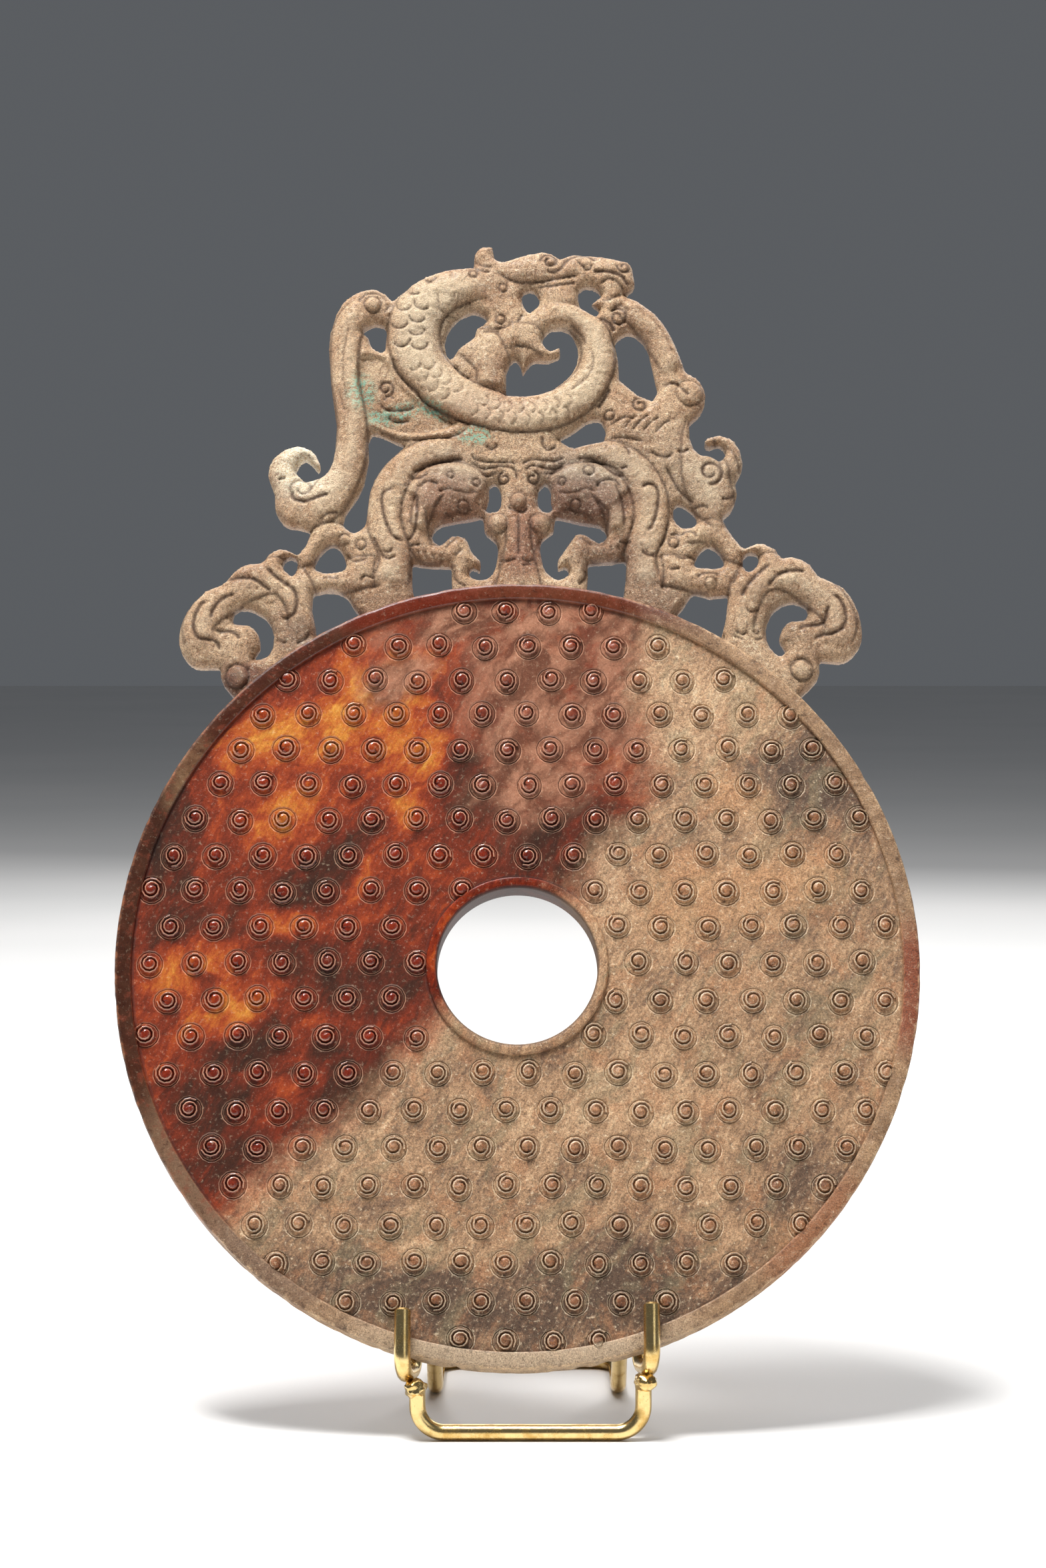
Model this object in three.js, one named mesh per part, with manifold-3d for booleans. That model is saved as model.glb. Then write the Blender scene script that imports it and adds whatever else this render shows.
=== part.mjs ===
// Jade bi disc with an openwork dragon crest, leaning back on a bent brass wire stand.
// Millimetres, +Z up. The disc faces -Y and leans back by LEAN.
// In the plane of the disc u runs to the right, v runs up the disc and n runs out of its front.
import * as THREE from "three";
import { mergeVertices } from "three/addons/utils/BufferGeometryUtils.js";
import Module from "manifold-3d";

const wasm = await Module();
wasm.setup();

// Disc
const DISC_RADIUS = 100;
const DISC_THICKNESS = 9.6;
const HOLE_RADIUS = 20;
const OUTER_RIM_WIDTH = 4.4;
const INNER_RIM_WIDTH = 2.8;
const FIELD_DEPTH = 0.9;
const EDGE_ROUND = 0.7;
const DISC_SIDES = 60;
const RIM_STEP = 0.5;
const LEAN = THREE.MathUtils.degToRad(19.1);

// Crest
const CREST_THICKNESS = 7.8;
const CREST_EDGE = 0.7;
const FLARE_DEPTH = 2;
const SURROUND = 220;
const CREST_FOOT_RADIUS = DISC_RADIUS - 2;
const CREST_FOOT_LEFT = 135.3;
const CREST_FOOT_RIGHT = 44.6;
const CREST_FOOT_STOPS = 24;
const CURVE_TOLERANCE = 0.18;
const CURVE_STOPS = 12;
const POCKET_DEPTH = 1.1;
const DOME_SIDES = 14;
const DOME_LEVELS = [0, 35, 65];

// Stand
const WIRE_RADIUS = 2;
const WIRE_SIDES = 8;
const GAP = 0.3;
const SEAT_GAP = 0.6;
const STAND_X = 2.4;
const PRONG_SPREAD = 30.1;
const REST_SPREAD = 27.6;
const ARCH_TOP = 52;
const PRONG_LENGTH = 15.5;
const ARM_DROP = 1.5;
const PRONG_BEND = 4.4;
const ARCH_BEND = 24;
const FLOOR_Z = -112.1;
const FRONT_FOOT_X = 3.2;
const FRONT_FOOT_SPREAD = 27.3;
const FRONT_FOOT_Y = -32;
const FRONT_FOOT_TOP = -98.9;
const RIGHT_TOP_RISE = 1.4;
const FOOT_BEND = 6.5;
const REAR_LEG_SPREAD = REST_SPREAD - 2 * WIRE_RADIUS - GAP;
const REAR_LEG_TOP = -62;
const REAR_BRAZE = 16;
const REAR_TOUCHDOWN_Y = 20;
const REAR_FOOT_Y = 54;
const REAR_BENDS = [8, 9, 7, 7, 9, 8];
const CRADLE_BENDS = [PRONG_BEND, PRONG_BEND, ARCH_BEND, ARCH_BEND, PRONG_BEND, PRONG_BEND];
const CRADLE_BEND_STOPS = 6;
const FRONT_BEND_STOPS = 6;
const REAR_BEND_STOPS = 5;

const jade = new THREE.MeshStandardMaterial({ color: 0xb98a62, roughness: 0.32, metalness: 0 });
const brass = new THREE.MeshStandardMaterial({ color: 0xc9a55a, roughness: 0.22, metalness: 1 });

// ---------------------------------------------------------------- solids

// A closed solid from a geometry. Triangles that close up to a line at a pole are left out.
function solid(geometry) {
  geometry.deleteAttribute("normal");
  geometry.deleteAttribute("uv");
  const merged = mergeVertices(geometry, 1e-4);
  const corners = Array.from(merged.index.array);
  const triVerts = [];
  for (let i = 0; i < corners.length; i += 3) {
    const triangle = corners.slice(i, i + 3);
    if (new Set(triangle).size === 3) triVerts.push(...triangle);
  }
  const mesh = new wasm.Mesh({
    numProp: 3,
    vertProperties: new Float32Array(merged.attributes.position.array),
    triVerts: new Uint32Array(triVerts),
  });
  return new wasm.Manifold(mesh);
}

function geometryOf(body) {
  const mesh = body.getMesh();
  const geometry = new THREE.BufferGeometry();
  geometry.setAttribute("position", new THREE.BufferAttribute(mesh.vertProperties, 3));
  geometry.setIndex(new THREE.BufferAttribute(mesh.triVerts, 1));
  return geometry;
}

// ---------------------------------------------------------------- outlines

// Keeps only the points that a polyline needs to stay within the tolerance of its curve.
function thin(points, tolerance) {
  const first = points[0];
  const last = points[points.length - 1];
  const chord = new THREE.Line3(new THREE.Vector3(...first, 0), new THREE.Vector3(...last, 0));
  let farthest = 0;
  let split = 0;
  for (let i = 1; i < points.length - 1; i++) {
    const point = new THREE.Vector3(...points[i], 0);
    const away = chord.closestPointToPoint(point, true, new THREE.Vector3()).distanceTo(point);
    if (away > farthest) {
      farthest = away;
      split = i;
    }
  }
  if (farthest < tolerance) return [first, last];
  const head = thin(points.slice(0, split + 1), tolerance);
  return head.slice(0, -1).concat(thin(points.slice(split), tolerance));
}

// One smooth stretch through its points. A run of two points is a straight line.
function run(...points) {
  const through = points.map(([u, v]) => new THREE.Vector3(u, v, 0));
  const curve = new THREE.CatmullRomCurve3(through, false, "centripetal");
  const fine = curve.getPoints(points.length * CURVE_STOPS).map((p) => [p.x, p.y]);
  return thin(fine, CURVE_TOLERANCE);
}

// A closed smooth loop through its points.
function loop(...points) {
  const through = points.map(([u, v]) => new THREE.Vector3(u, v, 0));
  const curve = new THREE.CatmullRomCurve3(through, true, "centripetal");
  const fine = curve.getPoints(points.length * CURVE_STOPS).map((p) => [p.x, p.y]);
  const half = Math.floor(fine.length / 2);
  const head = thin(fine.slice(0, half + 1), CURVE_TOLERANCE);
  const tail = thin(fine.slice(half), CURVE_TOLERANCE);
  return head.slice(0, -1).concat(tail.slice(0, -1));
}

// Runs laid end to end, with a corner where two of them meet.
function chain(...runs) {
  return runs.flatMap((points) => points.slice(0, -1));
}

function circlePoint(radius, degrees) {
  const angle = THREE.MathUtils.degToRad(degrees);
  return [radius * Math.cos(angle), radius * Math.sin(angle)];
}

const shapeOf = (outline) => new THREE.Shape(outline.map(([u, v]) => new THREE.Vector2(u, v)));

function plate(outline, thickness, frontN) {
  const geometry = new THREE.ExtrudeGeometry(shapeOf(outline), { depth: thickness, bevelEnabled: false });
  geometry.translate(0, 0, frontN - thickness);
  return solid(geometry);
}

// A plug that widens by CREST_EDGE at a face, to break the sharp edges of what it cuts.
function flare(shape, faceN) {
  const geometry = new THREE.ExtrudeGeometry(shape, {
    depth: FLARE_DEPTH,
    bevelThickness: CREST_EDGE,
    bevelSize: CREST_EDGE,
    bevelSegments: 1,
  });
  geometry.translate(0, 0, faceN);
  return solid(geometry);
}

// ---------------------------------------------------------------- disc

function discBody() {
  const back = -DISC_THICKNESS;
  const innerField = HOLE_RADIUS + INNER_RIM_WIDTH;
  const outerField = DISC_RADIUS - OUTER_RIM_WIDTH;
  const face = [
    [HOLE_RADIUS, EDGE_ROUND],
    [HOLE_RADIUS + EDGE_ROUND, 0],
    [innerField, 0],
    [innerField + RIM_STEP, FIELD_DEPTH],
    [outerField - RIM_STEP, FIELD_DEPTH],
    [outerField, 0],
    [DISC_RADIUS - EDGE_ROUND, 0],
    [DISC_RADIUS, EDGE_ROUND],
  ];
  const front = face.map(([radius, depth]) => new THREE.Vector2(radius, -depth));
  const rear = face.map(([radius, depth]) => new THREE.Vector2(radius, back + depth)).reverse();
  const profile = [...front, ...rear, front[0].clone()].reverse();
  const geometry = new THREE.LatheGeometry(profile, DISC_SIDES);
  geometry.rotateX(Math.PI / 2);
  return solid(geometry);
}

// ---------------------------------------------------------------- crest

function crestOutline() {
  const footLeft = circlePoint(CREST_FOOT_RADIUS, CREST_FOOT_LEFT);
  const footRight = circlePoint(CREST_FOOT_RADIUS, CREST_FOOT_RIGHT);
  const strapLeft = run([-32.7, 178.9], [-35.2, 181.2], [-38.4, 182.3], [-44.9, 179.3], [-48.8, 170],
    [-48.6, 157], [-46.8, 142], [-48.8, 131.2], [-52.6, 129.1]);
  const curlLeft = run([-52.6, 129.1], [-54.8, 128.8], [-57.3, 131.6], [-55, 135], [-52.6, 133.2],
    [-51.5, 131.6], [-50.9, 133], [-52.8, 136.8], [-57, 138.5], [-62.6, 135.6], [-64.4, 131.2],
    [-62.6, 125.4]);
  const cloudLeft = run([-62.6, 125.4], [-62.4, 121.2], [-59.6, 116.9], [-55, 115.9], [-53, 115]);
  const neckLeft = run([-53, 115], [-54.2, 111.2], [-56.4, 108.5]);
  const loopLeft = run([-56.4, 108.5], [-60.7, 110.4], [-64, 108.7], [-65.4, 106.5]);
  const petalLeft = run([-65.4, 106.5], [-70.7, 105.6], [-75.2, 100.6]);
  const commaLeft = run([-75.2, 100.6], [-80.7, 98.1], [-85.4, 91.4], [-86.1, 84], [-82.6, 78.9], [-75.7, 78.4]);
  const ballLeft = run([-75.7, 78.4], [-75.2, 75], [-72.9, 71.6], footLeft);
  const ringLeft = run([-11.5, 188.1], [-19.9, 186.9], [-27, 183.9], [-32.7, 178.9]);
  const horn = run([-3.8, 189.9], [-6.1, 191], [-6.6, 194], [-9.5, 194.1], [-11.2, 192.1], [-11.5, 188.1]);
  const brow = run([11, 190.7], [9, 192.3], [6.4, 192.8], [2.6, 192], [-3.8, 189.9]);
  const snout = run([27.9, 180.5], [30.5, 183], [30.4, 186.4], [29.2, 189.5], [25.4, 190.7], [18.3, 191.7],
    [14.6, 192], [11, 190.7]);
  const strapRight = run([43.6, 159.1], [41.1, 166.1], [37.2, 173.4], [31.9, 178.2], [27.9, 180.5]);
  const lump = run([44.4, 144.8], [47.4, 147.6], [48.8, 152], [47.4, 156.3], [43.6, 159.1]);
  const armRight = run([50, 135.3], [46.8, 135.9], [44.7, 139.4], [44.4, 144.8]);
  const curlRight = run([56.2, 128.4], [58.2, 133.4], [56.2, 139.6], [51.6, 141.5], [48.3, 139.4],
    [49.4, 138.2], [52.2, 138.8], [53.9, 136.6], [52.4, 134.2], [50, 135.3]);
  const cloudRight = run([52.4, 118.6], [55, 121], [56.5, 125], [56.2, 128.4]);
  const neckRight = run([58.1, 110.2], [55.1, 113.9], [52.4, 118.6]);
  const loopRight = run([67.8, 107.6], [66.2, 110.2], [62.2, 112], [58.1, 110.2]);
  const petalRight = run([77, 102.8], [74.4, 106.5], [70.4, 108.2], [67.8, 107.6]);
  const commaRight = run([76.9, 80.3], [83.4, 80.2], [87.6, 85], [87.2, 92.8], [83.6, 99.6], [77, 102.8]);
  const ballRight = run(footRight, [74.4, 73], [76.6, 76], [76.9, 80.3]);
  const foot = Array.from({ length: CREST_FOOT_STOPS + 1 }, (_, i) => {
    const degrees = THREE.MathUtils.lerp(CREST_FOOT_LEFT, CREST_FOOT_RIGHT, i / CREST_FOOT_STOPS);
    return circlePoint(CREST_FOOT_RADIUS, degrees);
  });
  return chain(foot, ballRight, commaRight, petalRight, loopRight, neckRight, cloudRight, curlRight, armRight,
    lump, strapRight, snout, brow, horn, ringLeft, strapLeft, curlLeft, cloudLeft, neckLeft, loopLeft,
    petalLeft, commaLeft, ballLeft);
}

// The openings that are cut through the crest, from the top down.
function crestOpenings() {
  return [
    // in the ring of the big dragon
    loop([1.2, 181], [3.4, 182.1], [5.4, 180.8], [5.5, 177.6], [3, 175.7], [1.5, 177.6]),
    chain(
      run([15.8, 181.8], [17.6, 183.1], [20.4, 182.6], [22, 180.4], [19.4, 178.2]),
      run([19.4, 178.2], [21.4, 176.6], [20.5, 174.7], [18, 175.9], [16.2, 177.4], [15.8, 181.8]),
    ),
    loop([-17.6, 162.4], [-19.1, 166.6], [-17.2, 172.5], [-11.4, 176], [-7.8, 173.6], [-10.6, 170.9],
      [-11.4, 168.3], [-15.3, 165.3]),
    chain(
      run([1.3, 158.6], [0.8, 161.2], [-0.7, 162.7], [-2.8, 160], [-3, 152.5]),
      run([-3, 152.5], [4, 152.6], [10.4, 155], [15.2, 160.6], [15.6, 166.6], [13, 171], [8.6, 171.1],
        [6.3, 167.8], [8, 165], [10.9, 165.9]),
      run([10.9, 165.9], [11, 163.6], [8.3, 162.3], [4, 162.1], [2.2, 160.2], [1.3, 158.6]),
    ),
    loop([-34.4, 171.6], [-37.2, 172.5], [-40.6, 170.5], [-38.9, 168.6], [-37.9, 165.8], [-34.9, 164.6],
      [-34.3, 168]),
    // between the ring, the straps and the beasts
    chain(
      run([26.4, 156.8], [26.2, 162], [25.4, 167.4], [29, 170.1], [33.3, 166.8], [35.2, 160], [36.3, 153.4],
        [35, 150.9]),
      run([35, 150.9], [31.6, 152.3], [26.4, 156.8]),
    ),
    chain(
      run([10.5, 140.3], [14, 142.3], [18.4, 145.6], [21.4, 145.8], [22.9, 142.8], [22.4, 139.8]),
      run([22.4, 139.8], [17.2, 138.6], [14.2, 138], [10.5, 140.3]),
    ),
    chain(
      run([-29, 138.6], [-33.2, 140.4], [-37.4, 142.1], [-38.6, 140], [-38.4, 135.4], [-40, 127.2],
        [-44.4, 119.8]),
      run([-44.4, 119.8], [-44.9, 116.6], [-42.2, 114.8], [-39.4, 116.4], [-38.7, 121], [-37.4, 128],
        [-34, 133.8], [-29, 138.6]),
    ),
    loop([40.1, 121.4], [41.4, 122.6], [46, 119.1], [45.6, 116.5], [42.6, 116], [40.4, 118]),
    // beside the face of the mask
    loop([-7.4, 127.3], [-5.6, 128.3], [-4.3, 126], [-4.5, 121.4], [-6.4, 120.2], [-8.2, 120.9],
      [-7.3, 124.4]),
    loop([5.4, 126.6], [7.1, 128.3], [8.6, 126.6], [8.6, 123.4], [9.1, 121], [7.2, 120.3], [5.5, 121.8]),
    // under the jaws of the beasts, hooked round the curls beside the pillar
    chain(
      run([-8.8, 119.2], [-14, 118.2], [-20.4, 116.6], [-22.1, 113.6], [-20.1, 111.4], [-16.7, 113.9],
        [-13.6, 113.4], [-11.7, 109.4], [-9.5, 107], [-9.7, 104.4]),
      run([-9.7, 104.4], [-11.6, 105.3], [-12.5, 103.4], [-9.6, 101.9], [-6.4, 103.4], [-5, 108.8],
        [-5.4, 112.3], [-8.3, 115], [-8.8, 119.2]),
    ),
    chain(
      run([9.7, 119.2], [15.5, 117.7], [21.4, 116.6], [23.1, 113.8], [20.9, 111.9], [18.3, 113.8],
        [15.2, 114.4], [12.7, 110.6], [10.4, 107.2], [10.4, 104.9]),
      run([10.4, 104.9], [12.4, 105.5], [13.3, 103.6], [10.2, 102.1], [7, 104.6], [5.8, 109.6], [6.2, 112.8],
        [9.2, 115.2], [9.7, 119.2]),
    ),
    // between the feet of the crest, down to the rim of the disc
    chain(
      run([-27, 106.4], [-22, 105.6], [-16.9, 105.6]),
      run([-16.9, 105.6], [-16.8, 97.2]),
      run([-16.8, 97.2], [-26.3, 94.8]),
      run([-26.3, 94.8], [-27, 101], [-27, 106.4]),
    ),
    chain(
      run([18, 106.3], [23, 106.6], [28, 107.2]),
      run([28, 107.2], [27.7, 101], [27.3, 94.6]),
      run([27.3, 94.6], [18, 97]),
      run([18, 97], [18, 106.3]),
    ),
    loop([-52.1, 105.3], [-50.4, 109.4], [-47.4, 111.5], [-45.2, 110], [-43.9, 105.2], [-45.6, 104],
      [-50, 103.9]),
    loop([45.3, 105.6], [46.6, 109.4], [49, 111.2], [51.8, 109.4], [53.1, 106], [51, 105.1], [47, 105.2]),
    loop([-60.4, 106], [-58.6, 108.1], [-56.6, 107.4], [-56.5, 104.4], [-57.7, 102.7], [-59.8, 104.4]),
    loop([57.8, 107.8], [59.4, 109.4], [61.8, 108.6], [61.5, 105.6], [59, 103.9], [57.9, 105.4]),
    chain(
      run([-52.4, 98.2], [-47.6, 99.3], [-43.6, 97.4], [-41.6, 94.2], [-38.4, 90.4]),
      run([-38.4, 90.4], [-51.2, 83.4]),
      run([-51.2, 83.4], [-51.5, 89], [-52.6, 94.2], [-52.4, 98.2]),
    ),
    chain(
      run([39, 90.6], [42.6, 94.9], [44.9, 98.3], [49, 97.4], [54, 98]),
      run([54, 98], [53.2, 92], [52.5, 84.4]),
      run([52.5, 84.4], [39, 90.6]),
    ),
    // inside the big comma curls at the shoulders
    loop([-72.7, 90.4], [-72, 93.6], [-68.4, 94.1], [-63.8, 91.3], [-62, 86.4], [-63.4, 81.5], [-67.3, 80.6],
      [-65.7, 83.2], [-66, 87], [-68.4, 89.6]),
    loop([63.4, 88.4], [65.4, 93.6], [70, 96], [74.2, 94.2], [73.6, 91.3], [69, 90.5], [66.8, 86], [68.4, 82.6],
      [66.6, 81.6], [64, 84.4]),
  ];
}

// The sunken wing of the big dragon.
function wingPanel() {
  return loop([-40.6, 163.4], [-34.6, 163], [-30.6, 156.6], [-24.6, 150.4], [-15, 144.6], [-21, 141],
    [-30, 140.8], [-37.4, 143.8], [-41, 150], [-42.2, 157]);
}

// Rounded studs that stand out of both faces: [u, v, radius, height].
const STUDS = [
  [-37.5, 177.5, 2.3, 0.9],
  [26.2, 174.3, 2.6, 0.8],
  [-5, 116.8, 2.7, 1.4],
  [6, 116.8, 2.7, 1.4],
  [-71.4, 75.2, 3.2, 1.3],
  [72.6, 77, 3.3, 1.3],
  [-23, 123.2, 3.1, 1],
  [23.6, 124, 3.1, 1],
  [0.4, 122.6, 2.3, 1],
  [44.6, 152.6, 3.6, 0.9],
];

function stud([u, v, radius, height], frontN, backN) {
  const arc = DOME_LEVELS.map((degrees) => {
    const angle = THREE.MathUtils.degToRad(degrees);
    return new THREE.Vector2(radius * Math.cos(angle), height * Math.sin(angle));
  });
  const half = (frontN - backN) / 2;
  const upper = arc.map(({ x, y }) => new THREE.Vector2(x, half + y));
  const lower = arc.map(({ x, y }) => new THREE.Vector2(x, -half - y)).reverse();
  const top = new THREE.Vector2(0, half + height);
  const bottom = new THREE.Vector2(0, -half - height);
  const geometry = new THREE.LatheGeometry([bottom, ...lower, ...upper, top], DOME_SIDES);
  geometry.rotateX(Math.PI / 2);
  geometry.translate(u, v, (frontN + backN) / 2);
  return solid(geometry);
}

function crestBody() {
  const frontN = -(DISC_THICKNESS - CREST_THICKNESS) / 2;
  const backN = frontN - CREST_THICKNESS;
  const outline = crestOutline();
  const outside = new THREE.Shape([
    new THREE.Vector2(-SURROUND, -SURROUND),
    new THREE.Vector2(SURROUND, -SURROUND),
    new THREE.Vector2(SURROUND, SURROUND),
    new THREE.Vector2(-SURROUND, SURROUND),
  ]);
  outside.holes.push(shapeOf(outline));
  let body = plate(outline, CREST_THICKNESS, frontN);
  for (const opening of crestOpenings()) {
    body = body.subtract(plate(opening, CREST_THICKNESS + 2 * FLARE_DEPTH, frontN + FLARE_DEPTH));
  }
  for (const shape of [outside, ...crestOpenings().map(shapeOf)]) {
    body = body.subtract(flare(shape, frontN)).subtract(flare(shape, backN - FLARE_DEPTH));
  }
  const wing = wingPanel();
  body = body.subtract(plate(wing, POCKET_DEPTH * 2, frontN + POCKET_DEPTH));
  body = body.subtract(plate(wing, POCKET_DEPTH * 2, backN + POCKET_DEPTH));
  for (const spec of STUDS) {
    body = body.add(stud(spec, frontN, backN));
  }
  return body;
}

function jadeMesh() {
  const mesh = new THREE.Mesh(geometryOf(discBody().add(crestBody())), jade);
  mesh.name = "bi_disc";
  mesh.rotation.x = Math.PI / 2 - LEAN;
  return mesh;
}

// ---------------------------------------------------------------- stand

// Height of the lower back edge of the disc above the point x of the floor line.
function edgeZ(x) {
  const drop = Math.sqrt(DISC_RADIUS ** 2 - x ** 2);
  return -drop * Math.cos(LEAN) - DISC_THICKNESS * Math.sin(LEAN);
}

// A point of the stand given by its place across, its height v up the disc and its distance n off the front.
function offDisc(x, v, n) {
  return new THREE.Vector3(
    x,
    v * Math.sin(LEAN) - n * Math.cos(LEAN),
    v * Math.cos(LEAN) + n * Math.sin(LEAN),
  );
}

// Straight lengths of wire joined by rounded bends of the radii given with the inner points.
function bentWire(points, bends) {
  const path = new THREE.CurvePath();
  let start = points[0];
  for (let i = 1; i < points.length - 1; i++) {
    const into = points[i].clone().sub(points[i - 1]).normalize();
    const away = points[i + 1].clone().sub(points[i]).normalize();
    const reach = bends[i - 1] * Math.tan(into.angleTo(away) / 2);
    const bendStart = points[i].clone().addScaledVector(into, -reach);
    const bendEnd = points[i].clone().addScaledVector(away, reach);
    path.add(new THREE.LineCurve3(start, bendStart));
    path.add(roundBend(bendStart, points[i], bendEnd, into.angleTo(away)));
    start = bendEnd;
  }
  path.add(new THREE.LineCurve3(start, points[points.length - 1]));
  return path;
}

// A circular bend tangent to both arms, drawn as the cubic that matches the arc.
function roundBend(from, corner, to, angle) {
  const pull = ((4 / 3) * Math.tan(angle / 4)) / Math.tan(angle / 2);
  const leaving = from.clone().lerp(corner, pull);
  const arriving = to.clone().lerp(corner, pull);
  return new THREE.CubicBezierCurve3(from, leaving, arriving, to);
}

// The joints between lines and bends, and the stops inside each bend, as one polyline.
function stations(path, bendStops) {
  const points = [path.curves[0].getPoint(0)];
  for (const curve of path.curves) {
    const stops = curve.isLineCurve3 ? 1 : bendStops;
    for (let i = 1; i <= stops; i++) points.push(curve.getPoint(i / stops));
  }
  return points;
}

// A path that stops exactly at its stations, so that straight lengths stay one facet long.
class StationPath extends THREE.Curve {
  constructor(points) {
    super();
    this.points = points;
  }
  getPoint(t) {
    const place = t * (this.points.length - 1);
    const index = Math.min(Math.floor(place), this.points.length - 2);
    return this.points[index].clone().lerp(this.points[index + 1], place - index);
  }
  getPointAt(t) {
    return this.getPoint(t);
  }
  getTangentAt(t) {
    const place = Math.round(t * (this.points.length - 1));
    const before = this.points[Math.max(place - 1, 0)];
    const after = this.points[Math.min(place + 1, this.points.length - 1)];
    const here = this.points[place];
    const into = here.clone().sub(before).normalize();
    const away = after.clone().sub(here).normalize();
    return into.add(away).normalize();
  }
}

function wireMesh(name, path, bendStops) {
  const points = stations(path, bendStops);
  const section = Array.from({ length: WIRE_SIDES }, (_, i) => {
    const angle = ((i + 0.5) * 2 * Math.PI) / WIRE_SIDES;
    const reach = WIRE_RADIUS / Math.cos(Math.PI / WIRE_SIDES);
    return new THREE.Vector2(reach * Math.cos(angle), reach * Math.sin(angle));
  });
  const geometry = new THREE.ExtrudeGeometry(new THREE.Shape(section), {
    steps: points.length - 1,
    bevelEnabled: false,
    extrudePath: new StationPath(points),
  });
  const mesh = new THREE.Mesh(geometryOf(solid(geometry)), brass);
  mesh.name = name;
  return mesh;
}

// Prongs, arms and back rest are one wire, bent to an arch behind the disc.
function cradle() {
  const frontN = GAP + WIRE_RADIUS;
  const restN = -DISC_THICKNESS - GAP - WIRE_RADIUS;
  const side = (s) => {
    const frontX = STAND_X + s * PRONG_SPREAD;
    const backX = STAND_X + s * REST_SPREAD;
    const backZ = edgeZ(backX) - SEAT_GAP - WIRE_RADIUS;
    const frontZ = backZ + ARM_DROP;
    const heightV = (z, n) => (z - n * Math.sin(LEAN)) / Math.cos(LEAN);
    const tipV = heightV(frontZ + PRONG_LENGTH, frontN);
    return [
      offDisc(frontX, tipV, frontN),
      offDisc(frontX, heightV(frontZ, frontN), frontN),
      offDisc(backX, heightV(backZ, restN), restN),
      offDisc(backX, ARCH_TOP, restN),
    ];
  };
  const left = side(-1);
  const right = side(1).reverse();
  return wireMesh("cradle_wire", bentWire([...left, ...right], CRADLE_BENDS), CRADLE_BEND_STOPS);
}

function frontFoot() {
  const barZ = FLOOR_Z + WIRE_RADIUS;
  const corner = (s, z) => new THREE.Vector3(FRONT_FOOT_X + s * FRONT_FOOT_SPREAD, FRONT_FOOT_Y, z);
  const points = [
    corner(-1, FRONT_FOOT_TOP),
    corner(-1, barZ),
    corner(1, barZ),
    corner(1, FRONT_FOOT_TOP + RIGHT_TOP_RISE),
  ];
  return wireMesh("front_foot", bentWire(points, [FOOT_BEND, FOOT_BEND]), FRONT_BEND_STOPS);
}

// Two legs brazed beside the back rest, down to runners on the floor that a rear bar joins.
function rearFoot() {
  const barZ = FLOOR_Z + WIRE_RADIUS;
  const restN = -DISC_THICKNESS - GAP - WIRE_RADIUS;
  const topV = (REAR_LEG_TOP - restN * Math.sin(LEAN)) / Math.cos(LEAN);
  const top = (s) => offDisc(STAND_X + s * REAR_LEG_SPREAD, topV, restN);
  const onFloor = (s, y) => new THREE.Vector3(STAND_X + s * REAR_LEG_SPREAD, y, barZ);
  const knee = (s) => offDisc(STAND_X + s * REAR_LEG_SPREAD, topV - REAR_BRAZE, restN);
  const points = [
    top(-1), knee(-1), onFloor(-1, REAR_TOUCHDOWN_Y), onFloor(-1, REAR_FOOT_Y),
    onFloor(1, REAR_FOOT_Y), onFloor(1, REAR_TOUCHDOWN_Y), knee(1), top(1),
  ];
  return wireMesh("rear_foot", bentWire(points, REAR_BENDS), REAR_BEND_STOPS);
}

// ---------------------------------------------------------------- assembly

const object = new THREE.Group();
object.add(jadeMesh(), cradle(), frontFoot(), rearFoot());

// The origin is on the floor, under the middle of the object's box.
object.updateMatrixWorld(true);
const box = new THREE.Box3().setFromObject(object, true);
object.position.set(-(box.min.x + box.max.x) / 2, -(box.min.y + box.max.y) / 2, -box.min.z);

export default object;
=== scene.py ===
"""A jade disc with an openwork crest of dragons, leaning on a bent brass wire stand.

Lengths are millimetres in the plane of the disc (u right, v up the disc, n out of its front)
until a piece is finished, when its mesh is put in its place in metres.
"""

import math
import random

import bmesh
import bpy
import numpy as np
from mathutils import Matrix, Vector, kdtree, noise
from mathutils.geometry import interpolate_bezier


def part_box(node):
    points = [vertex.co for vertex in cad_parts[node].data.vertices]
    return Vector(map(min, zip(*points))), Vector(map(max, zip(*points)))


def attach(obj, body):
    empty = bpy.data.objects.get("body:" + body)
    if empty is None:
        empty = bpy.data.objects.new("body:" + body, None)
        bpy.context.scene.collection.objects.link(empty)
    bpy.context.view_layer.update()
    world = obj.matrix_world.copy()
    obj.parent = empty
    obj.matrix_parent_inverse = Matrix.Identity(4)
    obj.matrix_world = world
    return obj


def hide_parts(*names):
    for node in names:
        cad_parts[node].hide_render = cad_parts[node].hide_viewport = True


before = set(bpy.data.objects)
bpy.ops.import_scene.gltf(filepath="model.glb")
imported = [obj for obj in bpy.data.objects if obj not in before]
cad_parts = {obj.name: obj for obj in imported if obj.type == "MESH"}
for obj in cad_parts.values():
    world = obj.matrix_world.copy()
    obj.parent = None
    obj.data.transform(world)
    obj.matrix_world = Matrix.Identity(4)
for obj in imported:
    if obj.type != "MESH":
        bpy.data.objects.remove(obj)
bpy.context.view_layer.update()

MM = 0.001
LEAN = math.radians(19.1)

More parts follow.
